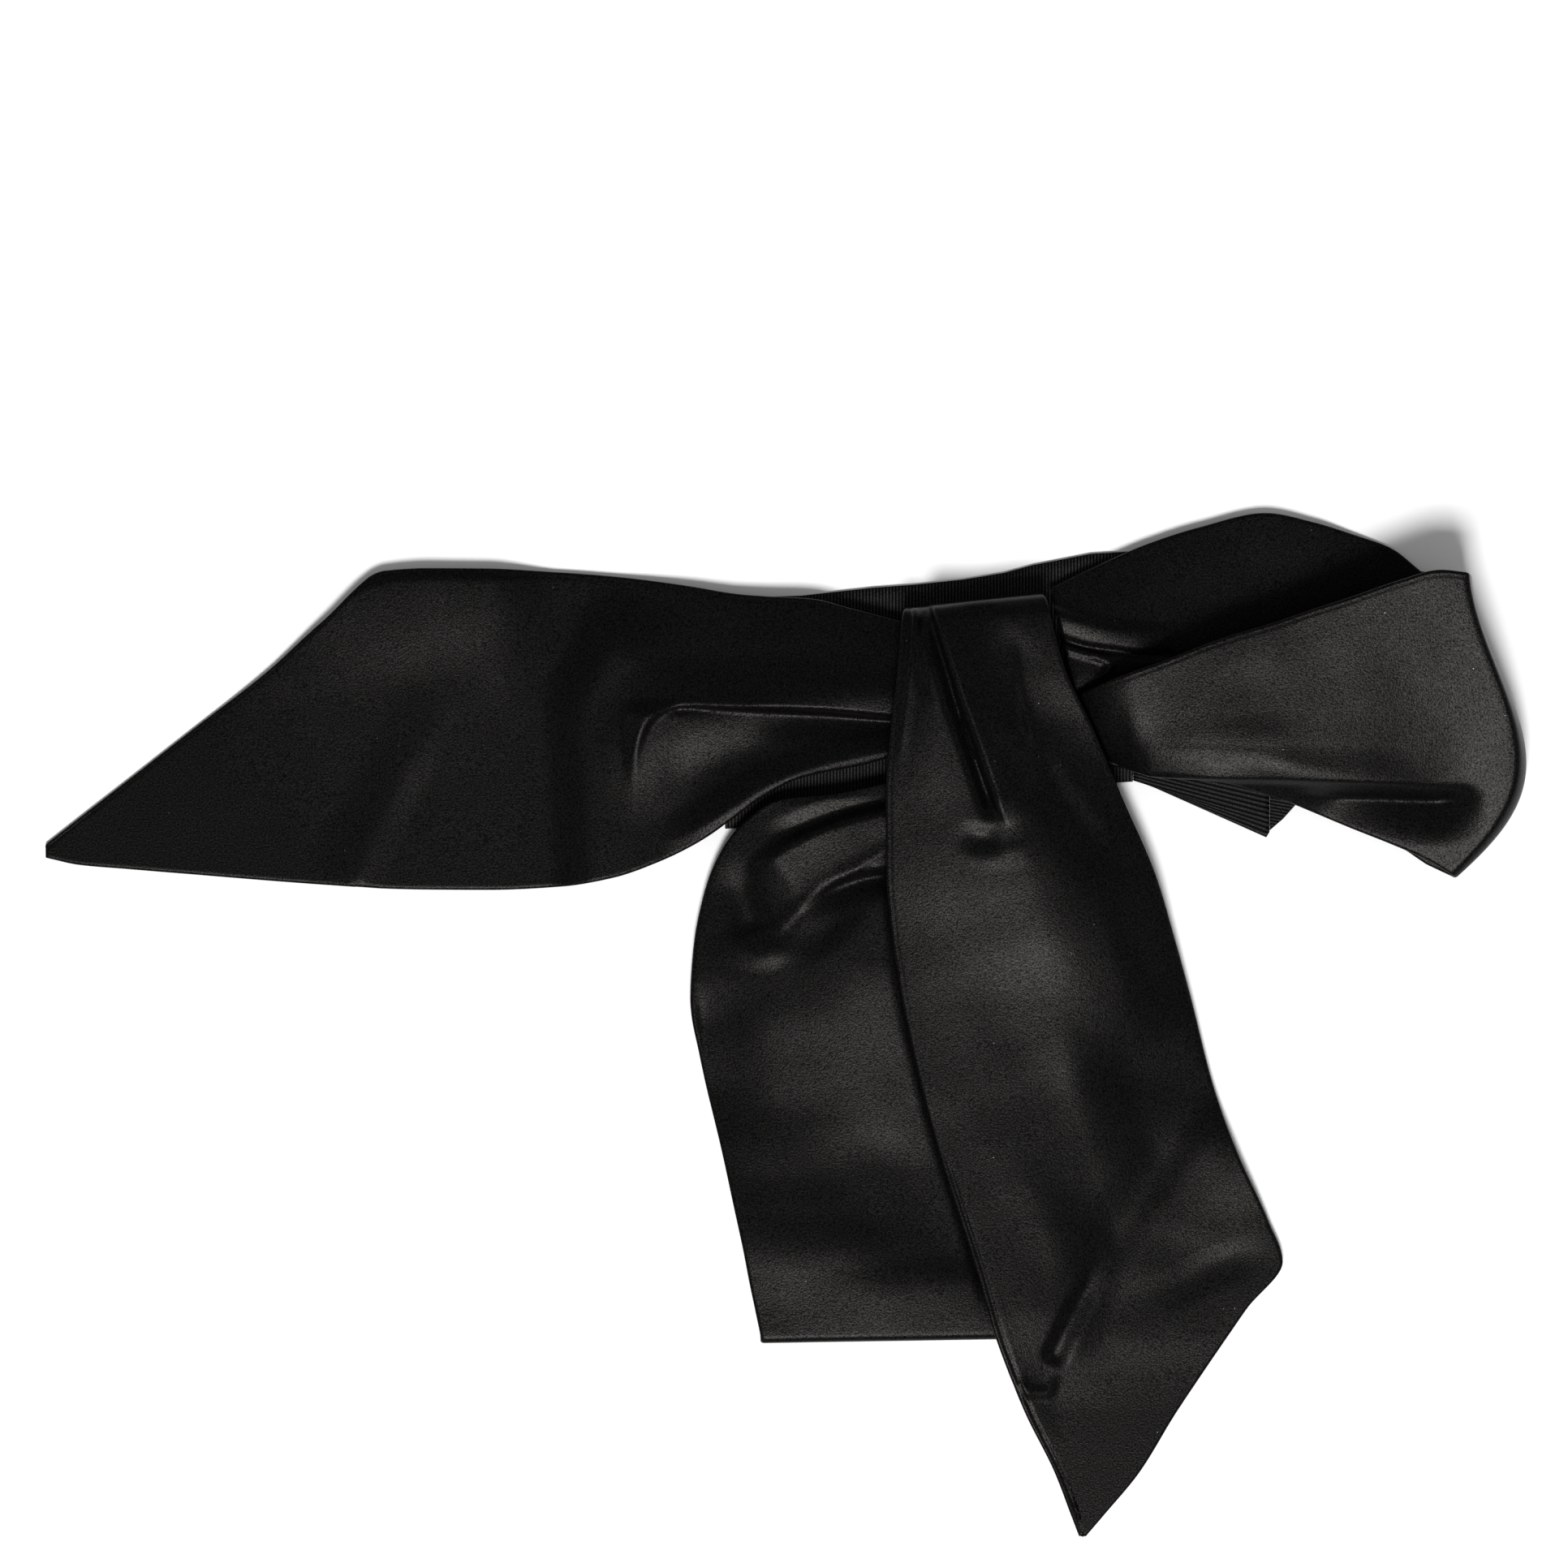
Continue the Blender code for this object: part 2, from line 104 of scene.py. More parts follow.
@dataclass(frozen=True)
class Fold:
    """One fold laid on a stretch, in millimetres.

    Args:
        start, end: height at the two ends of the path; a trough is negative.
        left, right: reach to the left and right of the path.
        path: plan points that the fold runs through.
        crisp: 0 for a soft round fold, 1 for a pointed one.
        lip: how far its crest leans over to the right of the path.
        fade_in, fade_out: share of the path over which it grows and dies away.
    """

    start: float
    end: float
    left: float
    right: float
    path: tuple[tuple[float, float], ...]
    crisp: float = 0.0
    lip: float = 0.0
    fade_in: float = 0.0
    fade_out: float = 0.25


def smooth_through(places: np.ndarray, values: np.ndarray, wanted: np.ndarray) -> np.ndarray:
    """Cubic Hermite curve through rows of values, with harmonic-mean slopes so that it never overshoots.

    Args:
        places: increasing places of the rows.
        values: rows of numbers.
        wanted: places to read.

    Returns:
        One row for each wanted place.
    """
    widths = np.diff(places)[:, None]
    slopes = np.diff(values, axis=0) / widths
    tangents = np.zeros_like(values)
    tangents[0], tangents[-1] = slopes[0], slopes[-1]
    product = slopes[:-1] * slopes[1:]
    total = slopes[:-1] + slopes[1:]
    safe = np.where(np.abs(total) < NO_WIDTH, 1.0, total)
    tangents[1:-1] = np.where(product > 0.0, 2.0 * product / safe, 0.0)
    wanted = np.clip(wanted, places[0], places[-1])
    index = np.clip(np.searchsorted(places, wanted, side="right") - 1, 0, len(places) - 2)
    return hermite(values[index], values[index + 1], tangents[index], tangents[index + 1],
                   widths[index], (wanted - places[index])[:, None] / widths[index])


def hermite(low: np.ndarray, high: np.ndarray, low_slope: np.ndarray, high_slope: np.ndarray,
            width: np.ndarray, t: np.ndarray) -> np.ndarray:
    """Cubic between two values with given slopes.

    Args:
        low, high: the values.
        low_slope, high_slope: the slopes there.
        width: distance between them.
        t: share of that distance.

    Returns:
        Each value times its cubic weight, plus each slope times its own weight and the width.
    """
    return ((2 * t**3 - 3 * t**2 + 1) * low + (t**3 - 2 * t**2 + t) * width * low_slope
            + (3 * t**2 - 2 * t**3) * high + (t**3 - t**2) * width * high_slope)


def smooth_across(values: np.ndarray, wanted: np.ndarray) -> np.ndarray:
    """The same cubic along each row, through values at even shares of the row.

    Args:
        values: rows by stations.
        wanted: rows by columns, shares from 0 to 1.

    Returns:
        Heights, rows by columns.
    """
    spans = values.shape[1] - 1
    width = 1.0 / spans
    slopes = np.diff(values, axis=1) / width
    product = slopes[:, :-1] * slopes[:, 1:]
    total = slopes[:, :-1] + slopes[:, 1:]
    safe = np.where(np.abs(total) < NO_WIDTH, 1.0, total)
    inner = np.where(product > 0.0, 2.0 * product / safe, 0.0)
    tangents = np.concatenate((slopes[:, :1], inner, slopes[:, -1:]), axis=1)
    index = np.clip((wanted * spans).astype(int), 0, spans - 1)
    rows = np.arange(len(values))[:, None]
    return hermite(values[rows, index], values[rows, index + 1], tangents[rows, index],
                   tangents[rows, index + 1], np.full(wanted.shape, width), wanted * spans - index)


def grid_normals(points: np.ndarray) -> np.ndarray:
    """Unit normals of a grid: the cross product of its steps down the rows and along the columns.

    Args:
        points: rows by columns by xyz.

    Returns:
        One normal for each point.
    """
    normal = np.cross(np.gradient(points, axis=0), np.gradient(points, axis=1))
    return normal / np.maximum(np.linalg.norm(normal, axis=-1, keepdims=True), NO_WIDTH)


def lay_fold(points: np.ndarray, fold: Fold) -> np.ndarray:
    """Add one fold to a grid: its height times a profile that falls from 1 on the path to 0 at its reach.

    Args:
        points: rows by columns by xyz.
        fold: the fold.

    Returns:
        The grid with the fold's height added, and its crest leant over by the lip.
    """
    path = np.asarray(fold.path, dtype=float)
    run = np.concatenate(([0.0], np.cumsum(np.hypot(*np.diff(path, axis=0).T))))
    path = smooth_through(run, path, np.linspace(0.0, run[-1], PATH_POINTS))
    steps = np.diff(path, axis=0)
    lengths = np.hypot(*steps.T)
    run = np.concatenate(([0.0], np.cumsum(lengths)))
    x, y = points[..., 0], points[..., 1]
    nearest = np.full(x.shape, np.inf)
    signed, along = np.zeros(x.shape), np.zeros(x.shape)
    turn = np.zeros(x.shape + (2,))
    for index, length in enumerate(lengths):
        direction = steps[index] / length
        dx, dy = x - path[index, 0], y - path[index, 1]
        t = np.clip(dx * direction[0] + dy * direction[1], 0.0, length)
        distance = np.hypot(dx - t * direction[0], dy - t * direction[1])
        side = np.where(direction[0] * dy - direction[1] * dx >= 0.0, 1.0, -1.0)
        closer = distance < nearest
        nearest = np.where(closer, distance, nearest)
        signed = np.where(closer, distance * side, signed)
        along = np.where(closer, (run[index] + t) / run[-1], along)
        turn = np.where(closer[..., None], np.array((direction[1], -direction[0])), turn)
    near = np.clip(1.0 - nearest / np.where(signed >= 0.0, fold.left, fold.right), 0.0, 1.0)
    soft = near**2 * (3.0 - 2.0 * near)
    profile = (1.0 - fold.crisp) * soft + fold.crisp * near**2
    if fold.fade_in > 0.0:
        profile = profile * ease(along / fold.fade_in)
    if fold.fade_out > 0.0:
        profile = profile * ease((1.0 - along) / fold.fade_out)
    moved = points.copy()
    moved[..., 2] += (fold.start + (fold.end - fold.start) * along) * profile
    moved[..., 0:2] += turn * (fold.lip * profile)[..., None]
    return moved


def ease(share: np.ndarray) -> np.ndarray:
    """Smooth step from 0 to 1."""
    t = np.clip(share, 0.0, 1.0)
    return t * t * (3.0 - 2.0 * t)


def bow_offset(rows: np.ndarray, share: np.ndarray) -> np.ndarray:
    """Plan offset of bowed sections: the bow times sin(pi share^skew), at right angles to the section.

    Args:
        rows: sections as rows of numbers.
        share: share across, rows by columns.

    Returns:
        Offsets in plan, rows by columns by xy.
    """
    across = rows[:, 2:4] - rows[:, 0:2]
    outward = np.stack((-across[:, 1], across[:, 0]), axis=1) / np.hypot(*across.T)[:, None]
    shape = np.sin(math.pi * share**BULGE_SKEW)
    return rows[:, 9][:, None, None] * shape[..., None] * outward[:, None, :]


@dataclass(frozen=True)
class Ripple:
    """Slight unevenness of soft cloth: a sum of plane waves over the plan, in millimetres.

    Args:
        height: height of a wave whose share is 1.
        waves: for each wave its turn for a millimetre along X and along Y, its phase and its share.
    """

    height: float = 0.05
    waves: tuple[tuple[float, float, float, float], ...] = (
        (0.16, 0.05, 0.3, 1.0), (-0.07, 0.19, 1.9, 0.8), (0.29, 0.21, 4.0, 0.45), (0.11, -0.33, 2.2, 0.4))

    def at(self, x: np.ndarray, y: np.ndarray) -> np.ndarray:
        """Height at plan points: each wave is its share of sin(kx x + ky y + phase).

        Args:
            x, y: the plan points.

        Returns:
            Their heights.
        """
        total = np.zeros(x.shape)
        for across, up, phase, share in self.waves:
            total += share * np.sin(across * x + up * y + phase)
        return self.height * total


@dataclass
class Stretch:
    """A stretch of cloth between its first and last section, with the folds that lie on it.

    Args:
        sections: its table of sections.
        folds: its folds.
        spacing: distance between rows, in millimetres.
        seam: depth of the stitched line beside edge a.
        ripple: its slight unevenness.
        columns: columns of the grid.
    """

    sections: tuple[Section, ...]
    folds: tuple[Fold, ...] = ()
    spacing: float = 1.1
    seam: float = 0.0
    ripple: Ripple = field(default_factory=Ripple)
    columns: int = 90

    def surface(self) -> np.ndarray:
        """Upper face: the sections, then the ripple, the folds and the stitched line.

        Returns:
            Rows by columns by xyz, in millimetres.
        """
        table = np.array([section.row() for section in self.sections])
        middle = (table[:, 0:2] + table[:, 2:4]) / 2.0
        places = np.concatenate(([0.0], np.cumsum(np.hypot(*np.diff(middle, axis=0).T))))
        count = max(2, round(places[-1] / self.spacing)) + 1
        rows = smooth_through(places, table, np.linspace(0.0, places[-1], count))
        width = np.hypot(*(rows[:, 2:4] - rows[:, 0:2]).T)
        share = self.shares(width)
        edge_a, edge_b = rows[:, None, 0:2], rows[:, None, 2:4]
        plan = edge_a + (edge_b - edge_a) * share[..., None] + bow_offset(rows, share)
        height = smooth_across(rows[:, 4:9], share)
        grown = ease((height - SATIN_WALL) / RIPPLE_RISE)
        height = height + self.ripple.at(plan[..., 0], plan[..., 1]) * grown
        points = np.dstack((plan, height))
        for fold in self.folds:
            points = lay_fold(points, fold)
        points[..., 2] -= self.seam * groove(share * width[:, None])
        points[..., 2] = np.maximum(points[..., 2], LOWEST_TOP)
        return points

    def shares(self, width: np.ndarray) -> np.ndarray:
        """Share across of each column: close together beside the edges, even between them.

        Args:
            width: width of each row.

        Returns:
            Shares from 0 to 1, rows by columns.
        """
        squeeze = np.minimum(1.0, width / EDGE_FULL_WIDTH)
        edge = np.array(EDGE_COLUMNS)[None, :] * squeeze[:, None] / width[:, None]
        inner = np.linspace(0.0, 1.0, self.columns - 2 * len(EDGE_COLUMNS) + 2)[1:-1]
        low, high = edge[:, -1:], 1.0 - edge[:, -1:]
        return np.concatenate((edge, low + (high - low) * inner[None, :], 1.0 - edge[:, ::-1]), axis=1)


def groove(distance: np.ndarray) -> np.ndarray:
    """Shallow stitched line beside an edge: a bell of the distance from that line."""
    return np.exp(-((distance - SEAM_PLACE) / SEAM_WIDTH) ** 2)


def half_thickness(points: np.ndarray, wall: float) -> np.ndarray:
    """Half the wall, rounded off at both long edges: wall/2 times the height of a circle of the roll.

    Args:
        points: grid of the wall's middle.
        wall: its thickness.

    Returns:
        Half the thickness at each point.
    """
    steps = np.linalg.norm(np.diff(points, axis=1), axis=-1)
    run = np.concatenate((np.zeros((len(points), 1)), np.cumsum(steps, axis=1)), axis=1)
    edge = np.minimum(run, run[:, -1:] - run)
    t = np.clip(edge / RIM_ROLL, RIM_START, 1.0)
    return wall / 2.0 * np.sqrt(1.0 - (1.0 - t) ** 2)


def closed_shell(middle: np.ndarray, wall: float) -> tuple[np.ndarray, np.ndarray]:
    """Closed wall round a middle surface.

    Args:
        middle: grid of the wall's middle.
        wall: its thickness.

    Returns:
        Vertices and quads; both faces are the middle moved along its normals by half the thickness, and
        nothing reaches below the surface that the cloth lies on.
    """
    offset = grid_normals(middle) * half_thickness(middle, wall)[..., None]
    verts, quads = two_faced(middle + offset, middle - offset)
    verts[:, 2] = np.maximum(verts[:, 2], 0.0)
    return verts, quads


def two_faced(top: np.ndarray, low: np.ndarray) -> tuple[np.ndarray, np.ndarray]:
    """Closed body between an upper and a lower grid of one size.

    Args:
        top, low: the grids, turned so that grid_normals of the upper one points out of the body.

    Returns:
        Vertices, the upper grid's first, and quads with their faces outward: both grids and four rims.
    """
    rows, columns = top.shape[:2]
    high = np.arange(rows * columns).reshape(rows, columns)
    base = high + rows * columns
    quads = [
        quads_of(high),
        quads_of(base)[:, ::-1],
        quads_of(np.stack((base[:, 0], high[:, 0]), axis=1)),
        quads_of(np.stack((high[:, -1], base[:, -1]), axis=1)),
        quads_of(np.stack((base[0], high[0]), axis=0)),
        quads_of(np.stack((high[-1], base[-1]), axis=0)),
    ]
    return np.concatenate((top.reshape(-1, 3), low.reshape(-1, 3))), np.concatenate(quads)


def quads_of(index: np.ndarray) -> np.ndarray:
    """Quads of a grid of vertex numbers, turned to the side that grid_normals gives."""
    corners = (index[:-1, :-1], index[1:, :-1], index[1:, 1:], index[:-1, 1:])
    return np.stack(corners, axis=-1).reshape(-1, 4)


def shell_uv(middle: np.ndarray) -> np.ndarray:
    """Distance across and along the cloth of each grid point, as its UV.

    Args:
        middle: grid of the wall's middle, in millimetres.

    Returns:
        Rows by columns by uv, in metres: u from the middle of the cloth, v from its first row.
    """
    across = np.linalg.norm(np.diff(middle, axis=1), axis=-1)
    along = np.linalg.norm(np.diff(middle, axis=0), axis=-1)
    u = np.concatenate((np.zeros((len(middle), 1)), np.cumsum(across, axis=1)), axis=1)
    u = u - u[:, -1:] / 2.0
    v = np.concatenate((np.zeros((1, middle.shape[1])), np.cumsum(along, axis=0)), axis=0)
    return np.dstack((u, v)) * MM


def add_mesh(name: str, verts: np.ndarray, faces: np.ndarray, uv: np.ndarray,
             material: bpy.types.Material) -> bpy.types.Object:
    """Make a smooth mesh object from arrays in millimetres.

    Args:
        name: the piece's name.
        verts: vertices.
        faces: quads of vertex numbers.
        uv: one UV for each vertex.
        material: its finish.

    Returns:
        The object, at the origin.
    """
    mesh = bpy.data.meshes.new(name)
    mesh.from_pydata((verts * MM).tolist(), [], faces.tolist())
    mesh.materials.append(material)
    layer = mesh.uv_layers.new(name="cloth")
    corner = np.empty(len(mesh.loops), dtype=np.int32)
    mesh.loops.foreach_get("vertex_index", corner)
    layer.data.foreach_set("uv", uv[corner].astype(np.float32).ravel())
    mesh.shade_smooth()
    mesh.update()
    piece = bpy.data.objects.new(name, mesh)
    bpy.context.scene.collection.objects.link(piece)
    return piece


def cloth_piece(name: str, middle: np.ndarray, material: bpy.types.Material) -> bpy.types.Object:
    """A closed wall of satin with its UV, as one piece.

    Args:
        name: the piece's name.
        middle: grid of the wall's middle, in millimetres.
        material: its finish.

    Returns:
        The object.
    """
    verts, faces = closed_shell(middle, SATIN_WALL)
    uv = shell_uv(middle).reshape(-1, 2)
    return add_mesh(name, verts, faces, np.concatenate((uv, uv)), material)


def middle_of(surface: np.ndarray) -> np.ndarray:
    """Middle of a satin wall whose upper face is the surface, for normals that point up or down."""
    normal = grid_normals(surface)
    return surface - normal * np.where(normal[..., 2:3] < 0.0, -1.0, 1.0) * SATIN_WALL / 2.0


def bend_between(upper: np.ndarray, lower: np.ndarray, crest: np.ndarray, rows: int) -> np.ndarray:
    """Rows of a bend: half an ellipse from the upper row, out to the crest, back to the lower row.

    Args:
        upper, lower: the last rows of the two stretches, one above the other.
        crest: plan of the bend's furthest line.
        rows: rows to make, without the two that are given.

    Returns:
        The rows between: plan = the blend of both rows plus (crest - blend) sin t, and the height
        falls as (1 + cos t) / 2.
    """
    t = np.linspace(0.0, math.pi, rows + 2)[1:-1, None, None]
    down = (1.0 - np.cos(t)) / 2.0
    blend = upper[None] + (lower - upper)[None] * down
    plan = blend[..., 0:2] + (crest[None] - blend[..., 0:2]) * np.sin(t)
    return np.concatenate((plan, blend[..., 2:3]), axis=-1)


GRAIN_REACH = 0.23     # half the share of the noise that is spread over black to white
CLOUD_REACH = 0.2
FLECK_SIZE = 0.045     # reach of a fleck, as a share of its cell
FLECK_CELLS = 0.93     # share of the cells that hold no fleck
# Painted shade: between these shares of the pitch the grooves between grosgrain ribs fade from the painted
# dark to the lit rib tone.
RIB_FOOT = 0.14        # shares of the pitch at which a rib starts to rise from its groove
RIB_CREST = 0.42       # and is at its full tone


def grain_group() -> bpy.types.ShaderNodeTree:
    """Node group of cloth grain, shared by the satin and the grosgrain.

    Returns:
        A group with inputs Vector, Thread Scale, Cloud Scale, Fleck Scale and outputs Thread, Cloud, Fleck:
        two noises spread over their middle part, and a disc in the few cells whose own colour is high.
    """
    found = bpy.data.node_groups.get("cloth_grain")
    if found:
        return found
    group = bpy.data.node_groups.new("cloth_grain", "ShaderNodeTree")
    face = group.interface
    face.new_socket("Vector", in_out="INPUT", socket_type="NodeSocketVector")
    for name, value in (("Thread Scale", 2200.0), ("Cloud Scale", 60.0), ("Fleck Scale", 300.0)):
        socket = face.new_socket(name, in_out="INPUT", socket_type="NodeSocketFloat")
        socket.default_value = value
    for name in ("Thread", "Cloud", "Fleck"):
        face.new_socket(name, in_out="OUTPUT", socket_type="NodeSocketFloat")
    nodes, links = group.nodes, group.links
    inlet, outlet = nodes.new("NodeGroupInput"), nodes.new("NodeGroupOutput")
    layers = (("Thread", "Thread Scale", 1.0, GRAIN_REACH), ("Cloud", "Cloud Scale", 3.0, CLOUD_REACH))
    for name, kind, detail, reach in layers:
        noise = nodes.new("ShaderNodeTexNoise")
        noise.inputs["Detail"].default_value = detail
        noise.inputs["Roughness"].default_value = 0.6
        links.new(inlet.outputs["Vector"], noise.inputs["Vector"])
        links.new(inlet.outputs[kind], noise.inputs["Scale"])
        spread = nodes.new("ShaderNodeMapRange")
        spread.inputs["From Min"].default_value = 0.5 - reach
        spread.inputs["From Max"].default_value = 0.5 + reach
        links.new(noise.outputs["Fac"], spread.inputs["Value"])
        links.new(spread.outputs["Result"], outlet.inputs[name])
    cells = nodes.new("ShaderNodeTexVoronoi")
    links.new(inlet.outputs["Vector"], cells.inputs["Vector"])
    links.new(inlet.outputs["Fleck Scale"], cells.inputs["Scale"])
    spot = nodes.new("ShaderNodeMath")
    spot.operation = "LESS_THAN"
    spot.inputs[1].default_value = FLECK_SIZE
    links.new(cells.outputs["Distance"], spot.inputs[0])
    rare = nodes.new("ShaderNodeSeparateColor")
    links.new(cells.outputs["Color"], rare.inputs["Color"])
    few = nodes.new("ShaderNodeMath")
    few.operation = "GREATER_THAN"
    few.inputs[1].default_value = FLECK_CELLS
    links.new(rare.outputs["Red"], few.inputs[0])
    both = nodes.new("ShaderNodeMath")
    both.operation = "MULTIPLY"
    links.new(spot.outputs[0], both.inputs[0])
    links.new(few.outputs[0], both.inputs[1])
    links.new(both.outputs[0], outlet.inputs["Fleck"])
    return group


@dataclass(frozen=True)
class ClothFinish:
    """A woven finish: colour, gloss and grain.

    Args:
        name: the material's name.
        dark, light: the colour between its threads and on them.
        fleck: colour of the rare specks of lint.
        dark, light: the colour between its threads and on them; with ribs, also the painted shade in the
            grooves and the lit rib crests.
        thread_scale: threads in a metre, for the grain.
        bump: depth of the grain in metres.
        metal: share of the light that the threads mirror in their own colour.
        specular: strength of the rest of the mirrored light.
        rib_pitch: distance between ribs in metres, whose grooves are painted dark as shade, or 0 for a
            plain cloth.
        bump_strength: share of the bump that shows.
    """

    name: str
    dark: tuple[float, float, float]
    light: tuple[float, float, float]
    fleck: tuple[float, float, float]
    smooth: float
    rough: float
    thread_scale: float
    bump: float
    metal: float
    specular: float
    rib_pitch: float = 0.0
    bump_strength: float = 0.28

    def material(self) -> bpy.types.Material:
        """Build the node material: grain mixes the colour and roughness, and bumps the surface; on cloth
        with ribs the grooves between them are painted dark as shade.

        Returns:
            The material.
        """
        material = bpy.data.materials.new(self.name)
        material.use_nodes = True
        nodes, links = material.node_tree.nodes, material.node_tree.links
        shader = nodes["Principled BSDF"]
        place = nodes.new("ShaderNodeTexCoord")
        grain = nodes.new("ShaderNodeGroup")
        grain.node_tree = grain_group()
        grain.inputs["Thread Scale"].default_value = self.thread_scale
        links.new(place.outputs["Object"], grain.inputs["Vector"])
        grain_and_groove_shade = nodes.new("ShaderNodeMix")
        grain_and_groove_shade.data_type = "RGBA"
        grain_and_groove_shade.inputs["A"].default_value = (*self.dark, 1.0)
        grain_and_groove_shade.inputs["B"].default_value = (*self.light, 1.0)
        # For cloth with ribs this factor also paints shade into the grooves between ribs.
        links.new(self.paint_groove_shade(nodes, links, grain.outputs["Thread"]), grain_and_groove_shade.inputs["Factor"])
        lint = nodes.new("ShaderNodeMix")
        lint.data_type = "RGBA"
        lint.inputs["B"].default_value = (*self.fleck, 1.0)
        links.new(grain.outputs["Fleck"], lint.inputs["Factor"])
        links.new(grain_and_groove_shade.outputs["Result"], lint.inputs["A"])
        links.new(lint.outputs["Result"], shader.inputs["Base Color"])
        gloss = nodes.new("ShaderNodeMapRange")
        gloss.inputs["To Min"].default_value = self.smooth
        gloss.inputs["To Max"].default_value = self.rough
        links.new(grain.outputs["Cloud"], gloss.inputs["Value"])
        links.new(gloss.outputs["Result"], shader.inputs["Roughness"])
        bump = nodes.new("ShaderNodeBump")
        bump.inputs["Strength"].default_value = self.bump_strength
        bump.inputs["Distance"].default_value = self.bump
        links.new(grain.outputs["Thread"], bump.inputs["Height"])
        links.new(bump.outputs["Normal"], shader.inputs["Normal"])
        shader.inputs["Metallic"].default_value = self.metal
        shader.inputs["Specular IOR Level"].default_value = self.specular
        return material

    def paint_groove_shade(self, nodes: bpy.types.Nodes, links: bpy.types.NodeLinks,
                 thread: bpy.types.NodeSocket) -> bpy.types.NodeSocket:
        """Paint shade into the grooves between ribs: grain times a bell over each rib, read from the
        piece's own UV, so that the grooves take the dark colour as painted shade and the crests the lighter
        one.

        Args:
            nodes, links: the material's.
            thread: the grain.

        Returns:
            The grain itself for a plain cloth, or the grain with painted shade in the grooves between ribs.
        """
        if self.rib_pitch <= 0.0:
            return thread
        place = nodes.new("ShaderNodeTexCoord")
        split = nodes.new("ShaderNodeSeparateXYZ")
        links.new(place.outputs["UV"], split.inputs["Vector"])
        swing = nodes.new("ShaderNodeMath")
        swing.operation = "PINGPONG"
        swing.inputs[1].default_value = self.rib_pitch / 2.0
        links.new(split.outputs["X"], swing.inputs[0])
        bell = nodes.new("ShaderNodeMapRange")
        bell.interpolation_type = "SMOOTHSTEP"
        bell.inputs["From Min"].default_value = self.rib_pitch * RIB_FOOT
        bell.inputs["From Max"].default_value = self.rib_pitch * RIB_CREST
        links.new(swing.outputs[0], bell.inputs["Value"])
        groove_shaded = nodes.new("ShaderNodeMath")
        groove_shaded.operation = "MULTIPLY"
        links.new(thread, groove_shaded.inputs[0])
        links.new(bell.outputs["Result"], groove_shaded.inputs[1])
        return groove_shaded.outputs[0]


SATIN = ClothFinish("black_satin", (0.0018, 0.0017, 0.0016), (0.0132, 0.0128, 0.0124), (0.12, 0.115, 0.11),
                    0.33, 0.36, 1900.0, 0.00012, 0.72, 0.01)
# Grosgrain: its dark colour is also painted shade in the grooves between its ribs, its light colour the lit
# rib crests.
GROSGRAIN = ClothFinish("black_grosgrain", (0.0003, 0.0003, 0.0003), (0.040, 0.040, 0.039),
                        (0.05, 0.05, 0.05), 0.6, 0.7, 2600.0, 0.00012, 0.0, 0.06, 0.001)


def finish_piece(piece: bpy.types.Object, nodes: tuple[str, ...]) -> None:
    """Attach a stretch of cloth to the root body and hide the solids that it stands for.

    Args:
        piece: the stretch.
        nodes: the solids that it stands for.
    """
    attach(piece, "root")
    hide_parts(*nodes)
    log.info("%s: %d faces", piece.name, len(piece.data.polygons))


def sections(*rows: tuple[float, ...]) -> tuple[Section, ...]:
    """Sections from rows in the order of Section's fields; a short row's last height runs on to edge b."""
    return tuple(Section(*row, *row[-1:] * (9 - len(row))) for row in rows)


